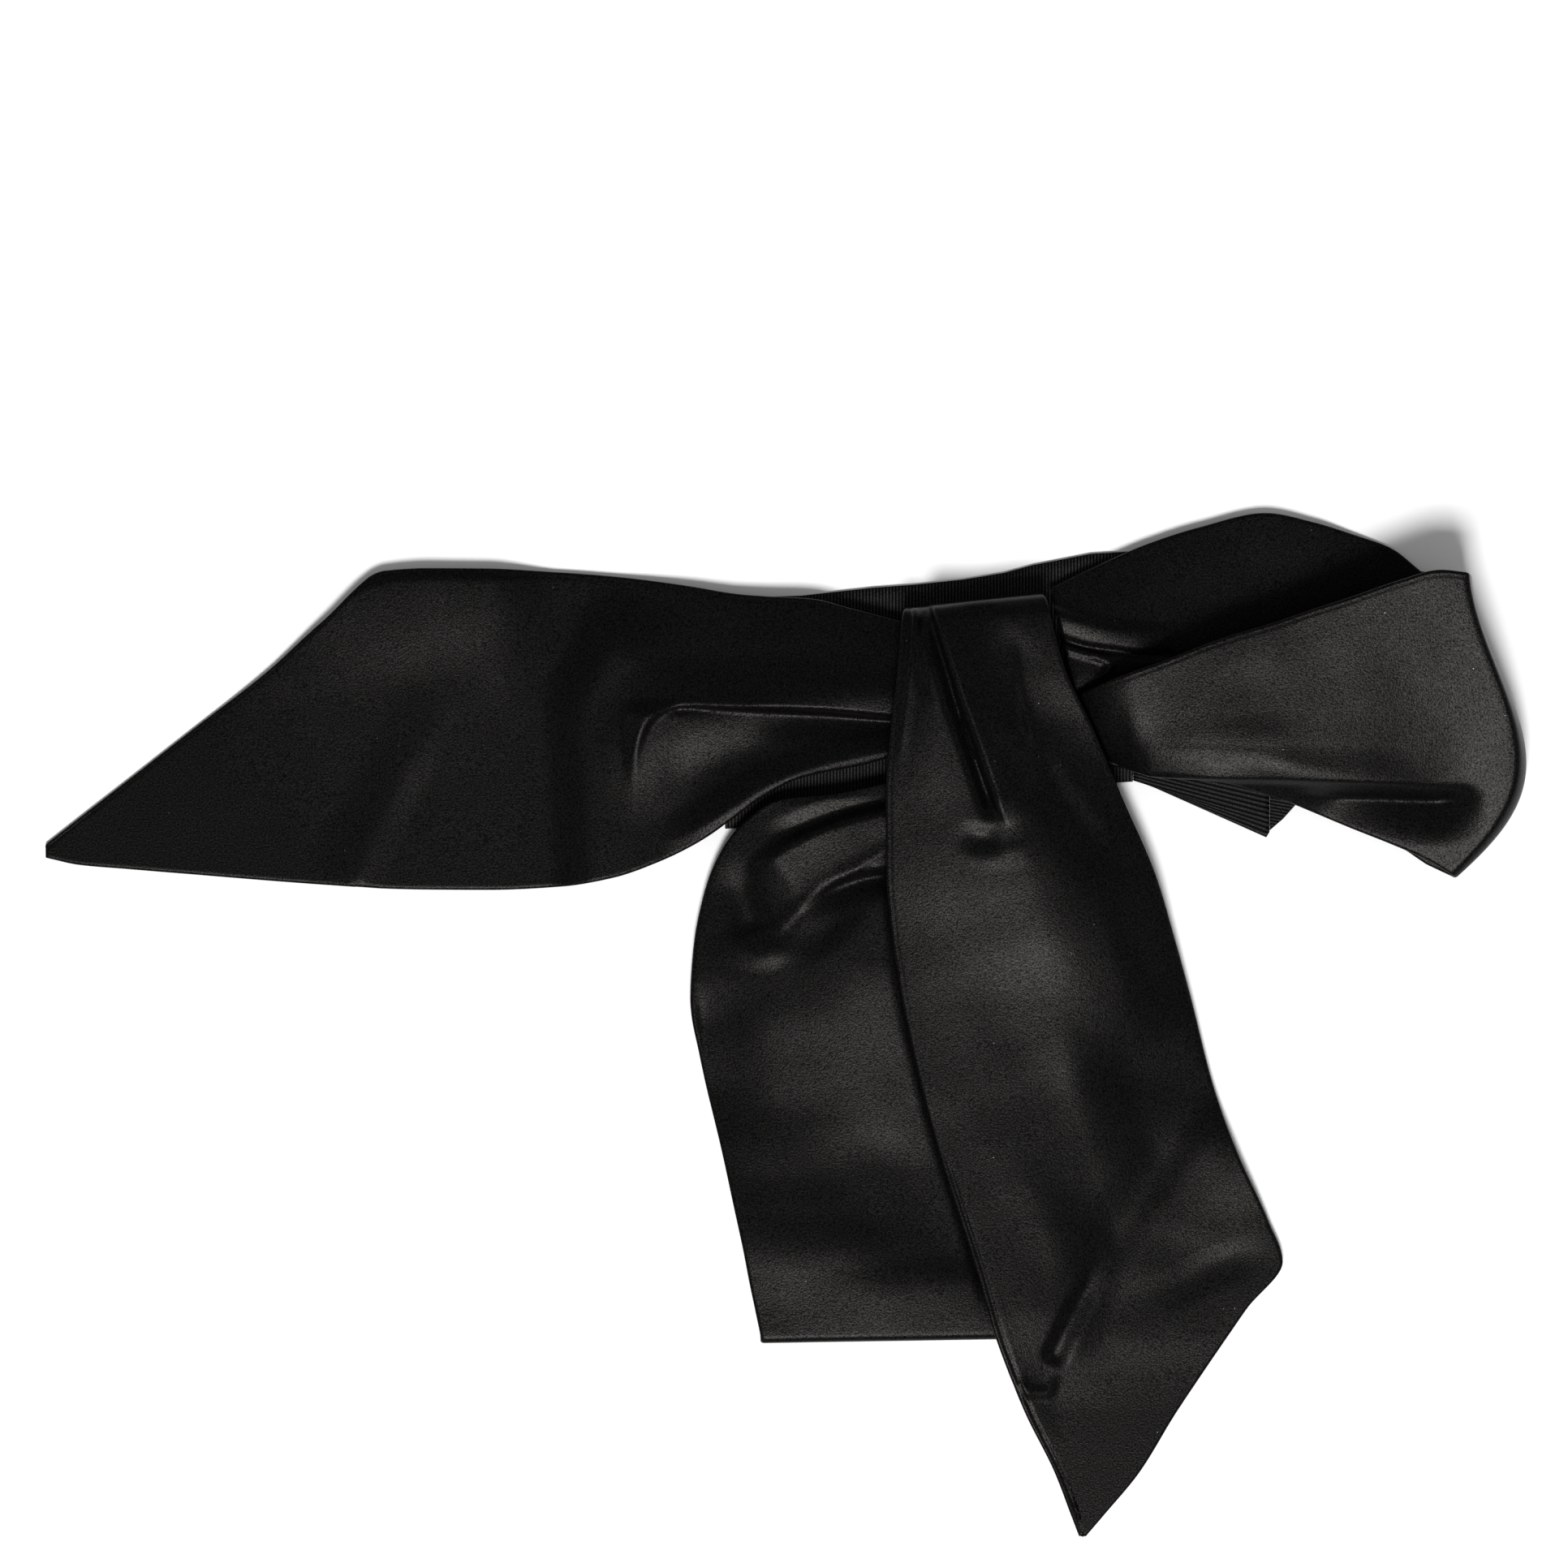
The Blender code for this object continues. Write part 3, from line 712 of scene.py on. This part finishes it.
@dataclass
class LeftTail:
    """Flat tail to the left, pleated where it leaves the knot.

    Args:
        cloth: its sections from the knot to the tip, edge a on top, and its folds.
        flat, area: width, length and area of the sewn tube, in metres; not used.
    """

    cloth: Stretch = field(default_factory=lambda: Stretch(
        sections=sections(
            (40.3, 121, 40.3, 83.5, 7.6, 9.6, 10.5, 8),
            (20.5, 126.2, 25, 78.8, 7.6, 9.6, 10.8, 8.5, 9),
            (7.7, 129.2, 5, 74.6, 7.2, 9, 10.2, 8.5, 9.5),
            (-5, 129.9, -7, 68.6, 6.6, 8.4, 9.4, 7.5, 9),
            (-14, 130.6, -15.4, 62.6, 6, 7.4, 8.2, 6.4, 8),
            (-28.7, 133, -25, 56, 4.8, 5.8, 6.4, 4.8, 6),
            (-40, 134.6, -38, 49.4, 3.6, 4.2, 4.6, 3.8, 3.6),
            (-52, 136, -52, 44.5, 2.6, 2.8, 2.8, 2.4, 2),
            (-68, 137.2, -68, 41.8, 2.4, 2.2, 1.9, 1.6),
            (-90, 138.3, -90, 40.8, 5.2, 4, 2.7, 2, 1.6),
            (-108, 138.4, -108, 40.9, 5.4, 4, 2.7, 1.9, 1.6),
            (-121.3, 137.6, -121, 41.2, 5, 3.8, 2.6, 1.8, 1.6),
            (-140.3, 122.4, -140, 42.4, 4, 3, 2.2, 1.8, 1.6),
            (-156.3, 107.7, -156, 43.6, 2.8, 2.2, 1.8, 1.6),
            (-178.5, 90.5, -178, 45.4, 1.6),
            (-200.6, 73.2, -200, 47.2, 1.6),
            (-214, 62.8, -214, 48.4, 1.6),
            (-224.2, 54.8, -224.2, 50.6, 1.6)),
        folds=(
            Fold(2.6, 2.2, 2.6, 15, ((33, 94.5), (9, 96.6), (-18, 97.4), (-30, 98), (-38, 96),
                 (-43, 90.5), (-45.5, 83), (-46, 74), (-45, 60)), crisp=0.35, lip=-0.9, fade_out=0.45),
            Fold(-2.2, -1.8, 9, 2.4, ((32, 92), (9, 93.6), (-8, 94.2), (-20, 94.4)), crisp=0.2,
                 fade_out=0.6),
            Fold(1.4, 1.2, 4.5, 8, ((32, 83), (20, 80.8), (8, 77.8), (-5, 73), (-15, 67), (-28, 59),
                 (-42, 52.5)), crisp=0.1, fade_out=0.3),
            Fold(3.2, 3, 30, 15, ((-42, 132), (-52, 112), (-60, 94), (-59, 76), (-57, 44)),
                 fade_in=0.25, fade_out=0),
            Fold(1.8, 3.3, 36, 5, ((-14, 94), (-32, 94), (-50, 94)), crisp=0.3, fade_in=0.7,
                 fade_out=0.2),
            Fold(0.6, 1, 8, 16, ((-102, 104), (-111, 84), (-121, 64), (-129, 45)), crisp=0.2,
                 fade_in=0.5, fade_out=0),
            Fold(1.2, 1.2, 3, 34, ((-150, 111), (-121, 134), (-104, 135), (-82, 134.6), (-66, 134)),
                 fade_in=0.3, fade_out=0.3)),
        seam=0.14))
    flat: tuple[float, float] = (0.097, 0.265)
    area: float = 0.0212

    def build(self, finish: bpy.types.Material) -> bpy.types.Object:
        """Make the tail from its middle surface.

        Args:
            finish: the satin.

        Returns:
            The piece.
        """
        piece = cloth_piece("left_tail_satin", middle_of(self.cloth.surface()), finish)
        finish_piece(piece, ("left_tail",))
        return piece


@dataclass
class FrontTail:
    """Tail that folds over the knot and falls to a point.

    Args:
        cloth: its sections from the knot's top to the tip, edge a on the left, and its folds.
        flat, area: width, length and area of the sewn tube, in metres; not used.
    """

    cloth: Stretch = field(default_factory=lambda: Stretch(
        sections=sections(
            (35.9, 126.6, 78.1, 131.2, 2.2),
            (35.8, 126.3, 78.2, 130.9, 12, 14, 14.4, 14, 13),
            (35.3, 124.2, 79.2, 128.6, 15.2, 17.6, 17.2, 17.6, 16.6),
            (34.8, 120, 80, 124.5, 16.8, 19.8, 18.8, 19.8, 18.6),
            (33.6, 106.2, 84.5, 108, 18.4, 21.2, 19.6, 18.2, 17.4),
            (31.8, 90, 93, 90, 18, 20.4, 20, 15.8, 14.4),
            (30.4, 70, 102, 69.5, 16.6, 18.6, 19, 15.4, 11),
            (30.6, 46, 112.3, 46, 14.2, 16.4, 16.8, 14.4, 9),
            (32.2, 28, 118.2, 27, 12.2, 14.2, 14.8, 12.8, 6),
            (35.8, 5.9, 123.5, 8, 10.8, 11.8, 12, 10, 4.2),
            (41.3, -18.6, 130, -18, 9.6, 10, 9.6, 5.4, 3.4),
            (46.5, -38, 137, -38, 8.8, 9.2, 7.6, 4.9, 5.2),
            (53.6, -60.3, 147, -60, 8.4, 8.2, 4.8, 3.6, 3.4),
            (58, -74, 151.2, -72, 8.2, 7.2, 3.7, 2.7, 2.9),
            (61.5, -86, 140.5, -86, 8, 6.6, 3, 2.5, 2.6),
            (63.8, -94, 135, -94, 7.4, 5.6, 2.8, 2.4),
            (68.6, -107, 126.2, -107, 5, 2.8, 2, 1.8),
            (73.4, -118.6, 118.5, -118.6, 3, 1.8, 1.6),
            (82, -136, 107.8, -136, 1.6),
            (87, -149, 97, -149, 1.6),
            (89.4, -155.3, 91.6, -155.3, 1.6)),
        folds=(
            Fold(2.3, 2.4, 14, 2.4, ((45.5, 127), (48, 117), (51.2, 107), (54, 97), (57.3, 88),
                 (61, 77), (65, 66.5), (68, 59)), crisp=0.4, lip=1.2, fade_out=0.15),
            Fold(-2.6, -3, 2.6, 5, ((42.6, 127), (45.6, 117), (48.8, 107), (51.6, 98), (54.8, 89),
                 (58.2, 79), (61.5, 69), (63.2, 61.5)), crisp=0.3, fade_out=0.12),
            Fold(-0.6, -1.3, 5, 7, ((51, 60.5), (56.5, 57.6), (61, 56.8), (66, 58)), fade_in=0.5,
                 fade_out=0.4),
            Fold(0.3, 0.3, 3.5, 7, ((54, 54), (62, 52.4), (70, 53.5), (77, 57)), fade_in=0.4,
                 fade_out=0.4),
            Fold(-1.4, -0.8, 1.1, 1.1, ((38, 126), (36.7, 114), (35.3, 102)), crisp=0.3),
            Fold(0.8, 0.6, 3, 1.2, ((39.6, 124), (38.2, 112), (36.8, 101), (35.4, 89), (34, 76)),
                 fade_out=0.4),
            Fold(-1.4, -0.9, 2.2, 3, ((41.8, 127), (41.2, 116), (41.4, 105), (43.5, 94)), fade_out=0.4),
            Fold(0.2, 2.2, 3.5, 10, ((68, 118), (68.5, 104), (70, 94), (72.5, 83)), fade_in=0.3,
                 fade_out=0.2),
            Fold(-0.8, -1.6, 8, 9, ((72, 86), (76, 79), (82, 70), (91, 58), (100, 42)), crisp=0.2,
                 fade_in=0.3, fade_out=0.4),
            Fold(1, 1.4, 22, 34, ((64, 76), (75, 60), (86, 44), (95, 27), (99, 10), (97, -12),
                 (90, -40)), fade_in=0.25, fade_out=0.6),
            Fold(-0.8, -1.2, 10, 12, ((131, -14), (124, -26), (115, -40), (106, -54), (98, -68),
                 (90, -82)), crisp=0.1, fade_in=0.3, fade_out=0.3),
            Fold(-1, -1.8, 6, 4, ((97, -68), (91, -80), (85, -92), (80, -103)), crisp=0.1,
                 fade_in=0.4, fade_out=0.1),
            Fold(0.9, 0.8, 2.6, 2.6, ((70.5, -106), (74.5, -111.5), (79, -111.5), (83, -105)),
                 fade_in=0.3, fade_out=0.4),
            Fold(-0.4, -0.6, 6, 9, ((104, -86), (118, -79), (132, -72), (148, -66)), fade_in=0.4,
                 fade_out=0.4),
            Fold(-0.35, -0.35, 0.7, 0.7, ((47.8, -36), (55.6, -60.3), (60.1, -74), (65.9, -94),
                 (70.7, -107), (75.5, -118.6), (84, -136), (89.2, -149)), fade_in=0.1, fade_out=0)),
        seam=0.16))
    flat: tuple[float, float] = (0.097, 0.290)
    area: float = 0.0225

    def build(self, finish: bpy.types.Material) -> bpy.types.Object:
        """Make the tail from its middle surface.

        Args:
            finish: the satin.

        Returns:
            The piece.
        """
        piece = cloth_piece("front_tail_satin", middle_of(self.cloth.surface()), finish)
        finish_piece(piece, ("front_tail",))
        return piece


@dataclass
class LowerLoop:
    """Loop under the front tail, pressed flat at its lower end.

    Args:
        cloth: its upper layer from the knot to the pressed fold, edge a on the left.
        reach: how far the pressed fold stands out past the last section.
        back_from: the section at which the hidden lower layer starts.
        back_spacing: distance between that layer's rows.
        fold_rows: rows of the pressed fold.
        flat, area: width, length and area of both layers, in metres; not used.
    """

    cloth: Stretch = field(default_factory=lambda: Stretch(
        sections=sections(
            (31, 73.4, 84, 72, 8, 9, 9.5, 9, 8),
            (14, 70, 84.3, 64, 8, 9.5, 10.5, 9.5, 8),
            (-1.5, 68.4, 84.6, 56, 7.5, 9.1, 10.8, 9.2, 7.5),
            (-11.5, 62.4, 84.8, 48, 6.2, 8.8, 10.6, 9.2, 7),
            (-18.8, 53.6, 85, 40, 5, 8.3, 10.6, 9.4, 6.2),
            (-24.2, 40.8, 85, 30, 4, 7.8, 11, 9.6, 5.8),
            (-27.6, 24, 85, 16, 3.4, 7.6, 10.8, 9.2, 5.4),
            (-28.6, 8, 85, 0, 3.2, 7, 9.4, 8.2, 5.2),
            (-25.6, -9, 85, -16, 3.2, 5.8, 7.6, 7.2, 5),
            (-21.4, -28, 84.5, -32, 3.2, 4.8, 5.9, 6.1, 5),
            (-18, -43, 83, -46, 3.6, 4.8, 4.8, 5.4, 5.2),
            (-15.2, -56, 81.5, -58, 4.6, 5.4, 4.9, 5),
            (-12.6, -68, 80, -70, 5.2, 6.2, 5.7, 5.1, 5),
            (-10.7, -78, 78.5, -79, 4.7, 5.8, 6.2, 5.8, 5.4),
            (-8.6, -88, 77, -87.5, 4.3, 5.1, 5.7, 5.6, 5.1),
            (-7.3, -94.2, 76, -92.8, 4.1, 4.7, 5.3, 5.3, 4.8)),
        folds=(
            Fold(-1.7, -1, 3.5, 6, ((32, 69), (20, 66), (8, 61.5), (-8.5, 55)), crisp=0.4,
                 fade_out=0.3),
            Fold(2.2, 2.9, 22, 4, ((32, 64.5), (18, 61), (6, 56.5), (-5, 50), (-11, 44)), crisp=0.6,
                 fade_out=0.25),
            Fold(0.4, 0.5, 1.8, 3, ((31, 53.5), (26.5, 51), (17.5, 45.5), (9.5, 40), (4, 35.5),
                 (-1, 30), (-4, 25.5)), crisp=0.25, lip=-1, fade_out=0.15),
            Fold(-4, -0.6, 7, 3.2, ((33, 45.5), (26, 44.5), (18, 42.2), (11, 38.8), (5, 33.5)),
                 crisp=0.1, fade_out=0.45),
            Fold(-0.7, -0.6, 6, 9, ((25, 41), (17, 33), (10, 26), (1, 19)), fade_in=0.3,
                 fade_out=0.4),
            Fold(-0.5, -2.2, 8, 9, ((-13.5, 53), (-13, 42), (-11, 34), (-8.6, 28)), fade_in=0.5,
                 fade_out=0.1),
            Fold(0.6, 0.9, 7, 6, ((-21, 27), (-15, 23.5), (-8.5, 21.2), (-2, 22.5), (3, 27)),
                 fade_in=0.35, fade_out=0.4),
            Fold(-1.2, -1.4, 20, 5, ((-24, 16), (-24, -4), (-21, -22), (-17, -38)), fade_in=0.3,
                 fade_out=0.4),
            Fold(-3.4, -2.4, 9, 7, ((35.5, 62), (35.5, 45), (37, 28), (40.5, 6), (46, -18),
                 (51.5, -38), (58.5, -60), (66, -88)), crisp=0.3, fade_in=0.2, fade_out=0.1)),
        columns=100))
    reach: float = 2.5
    back_from: int = 5
    back_spacing: float = 4.0
    fold_rows: int = 10
    flat: tuple[float, float] = (0.110, 0.290)
    area: float = 0.0295

    def build(self, finish: bpy.types.Material) -> bpy.types.Object:
        """Make the loop as one wall: upper layer, pressed fold, lower layer.

        Args:
            finish: the satin.

        Returns:
            The piece.
        """
        front = middle_of(self.cloth.surface())
        under = replace(self.cloth, sections=self.cloth.sections[self.back_from:], folds=(),
                        spacing=self.back_spacing)
        back = under.surface()[::-1]
        back[..., 2] = SATIN_WALL / 2.0
        crest = front[-1, :, 0:2] + np.array((0.0, SATIN_WALL / 2.0 - self.reach))
        fold = bend_between(front[-1], back[0], crest, self.fold_rows)
        middle = np.concatenate((front, fold, back))
        piece = cloth_piece("lower_loop_satin", middle, finish)
        finish_piece(piece, ("lower_loop",))
        return piece


@dataclass
class RightLoop:
    """Open loop to the right: a stretch on the surface, a round bend and a raised front lobe.

    Args:
        back: the stretch on the surface, from the knot to the bend, edge a on top.
        front: the raised lobe, the same way round.
        crest: plan of the bend's furthest line; its heights are not used.
        bend_rows: rows of the bend.
        flat, area: width, length and area of the whole stretch, in metres; not used.
    """

    back: Stretch = field(default_factory=lambda: Stretch(
        sections=sections(
            (80.5, 132.4, 92, 79.5, 5, 7, 7.5, 5, 3.4),
            (92.7, 138.3, 101, 78, 4.8, 6.4, 7, 4.5, 3.4),
            (110.5, 146, 112, 76, 4.4, 5, 5.6, 4, 3.4),
            (126.3, 151, 130, 73.5, 4.2, 4.2, 4.4, 3.6, 3.4),
            (145.8, 155.2, 148, 69.3, 4, 3.6, 3.4),
            (160.9, 152.3, 162, 64.5, 3.4, 3, 2.8, 3),
            (172.5, 148.8, 173, 60, 2.4, 2.2, 2, 1.8),
            (184, 144.7, 184, 55.6, 1.6, 1.6, 1.6, 1.6, 1.6, 6),
            (193.2, 137.6, 194.9, 48.6, 1.6, 1.6, 1.6, 1.6, 1.6, 13)),
        folds=(
            Fold(2.6, 1.4, 3, 10, ((82, 125), (91, 122), (100, 120), (110, 119), (122, 119)),
                 fade_out=0.4),
            Fold(-2, -1.6, 1.5, 1.6, ((83, 116.8), (91, 114.4), (100, 113.2), (110, 112), (122, 112)),
                 fade_out=0.4),
            Fold(1.6, 1.6, 1.6, 2.2, ((83, 115.2), (90, 112.8), (96.5, 111), (98.8, 109.4), (97.6, 106.6),
                 (94, 104)), crisp=0.3))))
    front: Stretch = field(default_factory=lambda: Stretch(
        sections=sections(
            (88.5, 100, 98.5, 79.5, 10.6, 10.4, 9.8, 8.4, 5.6),
            (97.5, 104, 103.2, 77.2, 16.4, 15.2, 13.4, 10.8, 8),
            (104.5, 106.6, 106.6, 76, 18.6, 17.2, 15.6, 13.2, 9.6),
            (113.6, 109.8, 111, 74.8, 19.7, 18.2, 16.7, 14.8, 11),
            (129.6, 116.1, 130, 73.4, 21.4, 20.1, 18.8, 17.2, 12),
            (147.4, 121.6, 148.9, 68.3, 23, 21.3, 19.5, 17.4, 9.4),
            (158, 125.2, 160.5, 64, 24.4, 22.1, 19.6, 16.8, 8.3),
            (170.2, 129.1, 172.2, 59.2, 26, 22.8, 19.4, 15.6, 7.6, 2),
            (184, 133.8, 183.6, 54.6, 27.6, 23.4, 18.8, 14, 7.2, 6),
            (196.5, 136.9, 196, 49, 28.8, 23.8, 18.5, 13, 6.4, 12.5),
            (203.6, 136.2, 201, 46, 28.8, 23.8, 18.5, 13, 6, 17.6)),
        folds=(
            Fold(2.2, 0.6, 10, 3, ((104, 77.6), (130, 75.4), (150, 75), (172, 74.4), (190, 74.2),
                 (201, 75.5)), crisp=0.5, lip=0.6, fade_in=0.3, fade_out=0.2),
            Fold(-4, -6.2, 5, 15, ((150, 70), (165, 69), (180, 68.5), (195, 68), (212, 70)),
                 crisp=0.6, fade_in=0.3, fade_out=0.25),
            Fold(-0.5, -0.5, 14, 14, ((134, 112), (140, 98), (142, 82)), fade_in=0.4, fade_out=0.4)),
        seam=0.14))
    crest: Section = Section(206.1, 135.9, 202.8, 44.8, 0.0, 0.0, 0.0, 0.0, 0.0, 19.5)
    bend_rows: int = 26
    flat: tuple[float, float] = (0.095, 0.290)
    area: float = 0.0195

    def build(self, finish: bpy.types.Material) -> bpy.types.Object:
        """Make the loop as one wall: lower stretch, bend, front lobe.

        Args:
            finish: the satin.

        Returns:
            The piece.
        """
        back = middle_of(self.back.surface()[:, ::-1])
        front = middle_of(self.front.surface()[:, ::-1])
        row = np.array([self.crest.row()])
        width = np.hypot(*(row[:, 2:4] - row[:, 0:2]).T)
        share = self.front.shares(width)
        crest = row[:, None, 0:2] + (row[:, None, 2:4] - row[:, None, 0:2]) * share[..., None]
        crest = (crest + bow_offset(row, share))[0, ::-1]
        bend = bend_between(front[-1], back[-1], crest, self.bend_rows)
        middle = np.concatenate((back, bend[::-1], front[::-1]))[:, ::-1]
        piece = cloth_piece("right_loop_satin", middle, finish)
        finish_piece(piece, ("right_loop_back", "right_loop_front"))
        return piece


@dataclass
class Ribbon:
    """Flat grosgrain: ribs across it, a rounded selvedge along both edges.

    Args:
        name: its piece's name.
        node: the solid that it stands for.
        heads, feet: plan of the edges where its ribs start and end, in millimetres, so that going along
            them and then over to the feet turns to the right.
        flat, area: width, length and area of its cut, in metres; not used.
        pitch: distance between ribs along the heads.
        depth: height of a rib above the groove beside it.
        per_rib: columns of the grid in one rib.
        rows: rows of the grid.
    """

    name: str
    node: str
    heads: tuple[tuple[float, float], ...]
    feet: tuple[tuple[float, float], ...]
    flat: tuple[float, float]
    area: float
    pitch: float = 1.0
    depth: float = 0.16
    per_rib: int = 6
    rows: int = 24

    def build(self, finish: bpy.types.Material) -> bpy.types.Object:
        """Make the ribbon: its underside is flat, and its upper face is a row of half-round ribs.

        Args:
            finish: the grosgrain.

        Returns:
            The piece.
        """
        count = round(self.runs(self.heads)[1][-1] / self.pitch) * self.per_rib + 1
        heads = self.along(self.heads, count)
        feet = self.along(self.feet, count)
        v = np.linspace(0.0, 1.0, self.rows)
        plan = heads[None] + (feet - heads)[None] * v[:, None, None]
        run = np.arange(count) / self.per_rib
        rib = np.sqrt(np.clip(1.0 - (2.0 * (run % 1.0) - 1.0) ** 2, 0.0, 1.0))
        across = np.linalg.norm(plan[-1] - plan[0], axis=-1).mean()
        edge = np.minimum(v, 1.0 - v) * across
        roll = np.sqrt(1.0 - (1.0 - np.clip(edge / SELVEDGE, SELVEDGE_START, 1.0)) ** 2)
        top = (RIBBON_WALL - self.depth * (1.0 - rib))[None] * (0.5 + 0.5 * roll[:, None])
        low = (RIBBON_WALL * 0.5 * (1.0 - roll))[:, None] + np.zeros_like(top)
        verts, faces = two_faced(np.dstack((plan, top)), np.dstack((plan, low)))
        uv = np.dstack(np.broadcast_arrays(run[None] * MM, (v * across * MM)[:, None])).reshape(-1, 2)
        piece = add_mesh(self.name, verts, faces, np.concatenate((uv, uv)), finish)
        finish_piece(piece, (self.node,))
        return piece

    @staticmethod
    def runs(points: tuple[tuple[float, float], ...]) -> tuple[np.ndarray, np.ndarray]:
        """An edge's points as an array, and their distances along it."""
        line = np.asarray(points, dtype=float)
        return line, np.concatenate(([0.0], np.cumsum(np.hypot(*np.diff(line, axis=0).T))))

    def along(self, points: tuple[tuple[float, float], ...], count: int) -> np.ndarray:
        """Points at even distances along an edge.

        Args:
            points: the edge.
            count: points to make.

        Returns:
            Their plan places.
        """
        line, run = self.runs(points)
        wanted = np.linspace(0.0, run[-1], count)
        return np.stack((np.interp(wanted, run, line[:, 0]), np.interp(wanted, run, line[:, 1])), axis=1)


BAND_TOP = ((-18.0, 129.4), (5.1, 130.2), (27.0, 132.6), (40.3, 133.6), (54.3, 135.1), (66.6, 137.1),
            (75.5, 139.5), (84.4, 141.2), (93.0, 142.9), (105.8, 143.7))
BAND_WIDTH = 70.0
TURN_DEPTH = 0.3       # millimetres, the ribs of the turned end, which the light meets from the side


def ribbons() -> tuple[Ribbon, ...]:
    """The three pieces of the grosgrain band.

    Returns:
        The stretch behind the knot, its turned end and the layer under that.
    """
    return (
        Ribbon("ribbon_band", "band", BAND_TOP, tuple((x, y - BAND_WIDTH) for x, y in BAND_TOP),
               (0.070, 0.124), 0.00868),
        Ribbon("ribbon_turn", "band_turn", ((109.4, 73.2), (105.9, 74.0), (105.9, 96.0)),
               ((146.3, 56.8), (147.3, 58.4), (147.3, 96.0)), (0.040, 0.041), 0.00128, depth=TURN_DEPTH),
        Ribbon("ribbon_under", "band_under", ((147.4, 59.0), (147.4, 86.0)),
               ((147.7, 59.2), (151.4, 62.4), (154.1, 65.4), (160.0, 72.0), (160.0, 86.0)),
               (0.0285, 0.0123), 0.00026, depth=TURN_DEPTH),
    )


@dataclass(frozen=True)
class Softbox:
    """Area light turned towards the middle of the floor.

    Args:
        name: its name.
        place: its place in metres.
        size: its width and height in metres.
        power: its power in watts.
    """

    name: str
    place: tuple[float, float, float]
    size: tuple[float, float]
    power: float

    def build(self) -> bpy.types.Object:
        """Make the light and aim it.

        Returns:
            The light.
        """
        light = bpy.data.lights.new(self.name, "AREA")
        light.shape = "RECTANGLE"
        light.size, light.size_y = self.size
        light.energy = self.power
        lamp = bpy.data.objects.new(self.name, light)
        lamp.location = self.place
        away = np.array(self.place)
        pitch = math.acos(away[2] / np.linalg.norm(away))
        lamp.rotation_euler = (pitch, 0.0, math.atan2(away[0], -away[1]))
        bpy.context.scene.collection.objects.link(lamp)
        return lamp


@dataclass
class Studio:
    """Pale floor, soft light and the camera above the sash.

    Args:
        floor_side: side of the floor in metres.
        floor_drop: how far it lies under the cloth, in metres.
        floor_tone: brightness of the floor.
        floor_roughness, floor_specular: its gloss.
        sky: strength of the air's own light.
        softboxes: the lights.
        camera_at: place of the camera in metres, looking straight down.
        lens, sensor: focal length and sensor width in millimetres.
        clip: nearest and furthest distance that the camera sees, in metres.
    """

    floor_side: float = 6.0
    floor_drop: float = 0.0002
    floor_tone: float = 0.86
    floor_roughness: float = 0.9
    floor_specular: float = 0.1
    sky: float = 0.28
    softboxes: tuple[Softbox, ...] = (
        Softbox("key_softbox", (-0.10, -2.05, 3.65), (1.3, 1.1), 204.0),
        Softbox("left_softbox", (-1.9, 0.2, 0.7), (0.6, 1.2), 2.0),
        Softbox("right_softbox", (1.9, 0.2, 0.7), (0.6, 1.2), 3.0))
    camera_at: tuple[float, float, float] = (-0.00012, 0.0730, 1.786)
    lens: float = 135.0
    sensor: float = 36.0
    clip: tuple[float, float] = (0.1, 20.0)

    def floor(self) -> bpy.types.Object:
        """Flat pale floor with a plain finish.

        Returns:
            The floor.
        """
        half = self.floor_side / 2.0
        mesh = bpy.data.meshes.new("floor")
        corners = [(x * half, y * half, -self.floor_drop) for x, y in ((-1, -1), (1, -1), (1, 1), (-1, 1))]
        mesh.from_pydata(corners, [], [(0, 1, 2, 3)])
        material = bpy.data.materials.new("pale_floor")
        material.use_nodes = True
        shader = material.node_tree.nodes["Principled BSDF"]
        shader.inputs["Base Color"].default_value = (self.floor_tone, self.floor_tone, self.floor_tone, 1.0)
        shader.inputs["Roughness"].default_value = self.floor_roughness
        shader.inputs["Specular IOR Level"].default_value = self.floor_specular
        mesh.materials.append(material)
        floor = bpy.data.objects.new("floor", mesh)
        bpy.context.scene.collection.objects.link(floor)
        return floor

    def air(self) -> None:
        """Even white light from all round."""
        world = bpy.data.worlds.new("studio_air")
        world.use_nodes = True
        background = world.node_tree.nodes["Background"]
        background.inputs["Color"].default_value = (1.0, 1.0, 1.0, 1.0)
        background.inputs["Strength"].default_value = self.sky
        bpy.context.scene.world = world

    def camera(self) -> bpy.types.Object:
        """Camera that looks straight down, at the photo's angle.

        Returns:
            The camera.
        """
        camera = bpy.data.objects.new("camera", bpy.data.cameras.new("camera"))
        camera.data.lens = self.lens
        camera.data.sensor_width = self.sensor
        camera.data.clip_start, camera.data.clip_end = self.clip
        camera.location = self.camera_at
        bpy.context.scene.collection.objects.link(camera)
        bpy.context.scene.camera = camera
        return camera

    def build(self) -> None:
        """Make the floor, the lights, the air and the camera."""
        self.floor()
        for softbox in self.softboxes:
            softbox.build()
        self.air()
        self.camera()
        bpy.context.scene.view_settings.view_transform = "Standard"
        log.info("studio: %d lights", len(self.softboxes))


def dress_knot(finish: bpy.types.Material) -> None:
    """Give the hidden layers of the knot the satin.

    Args:
        finish: the satin.
    """
    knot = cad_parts["knot"]
    knot.data.materials.clear()
    knot.data.materials.append(finish)
    log.info("knot: dressed in satin")


def main() -> None:
    """Build the sash piece by piece, then the studio."""
    logging.basicConfig(level=logging.INFO, format="%(name)s: %(message)s")
    satin = SATIN.material()
    grosgrain = GROSGRAIN.material()
    Studio().build()
    for ribbon in ribbons():
        ribbon.build(grosgrain)
    dress_knot(satin)
    LeftTail().build(satin)
    LowerLoop().build(satin)
    RightLoop().build(satin)
    FrontTail().build(satin)


if __name__ == "__main__":
    main()
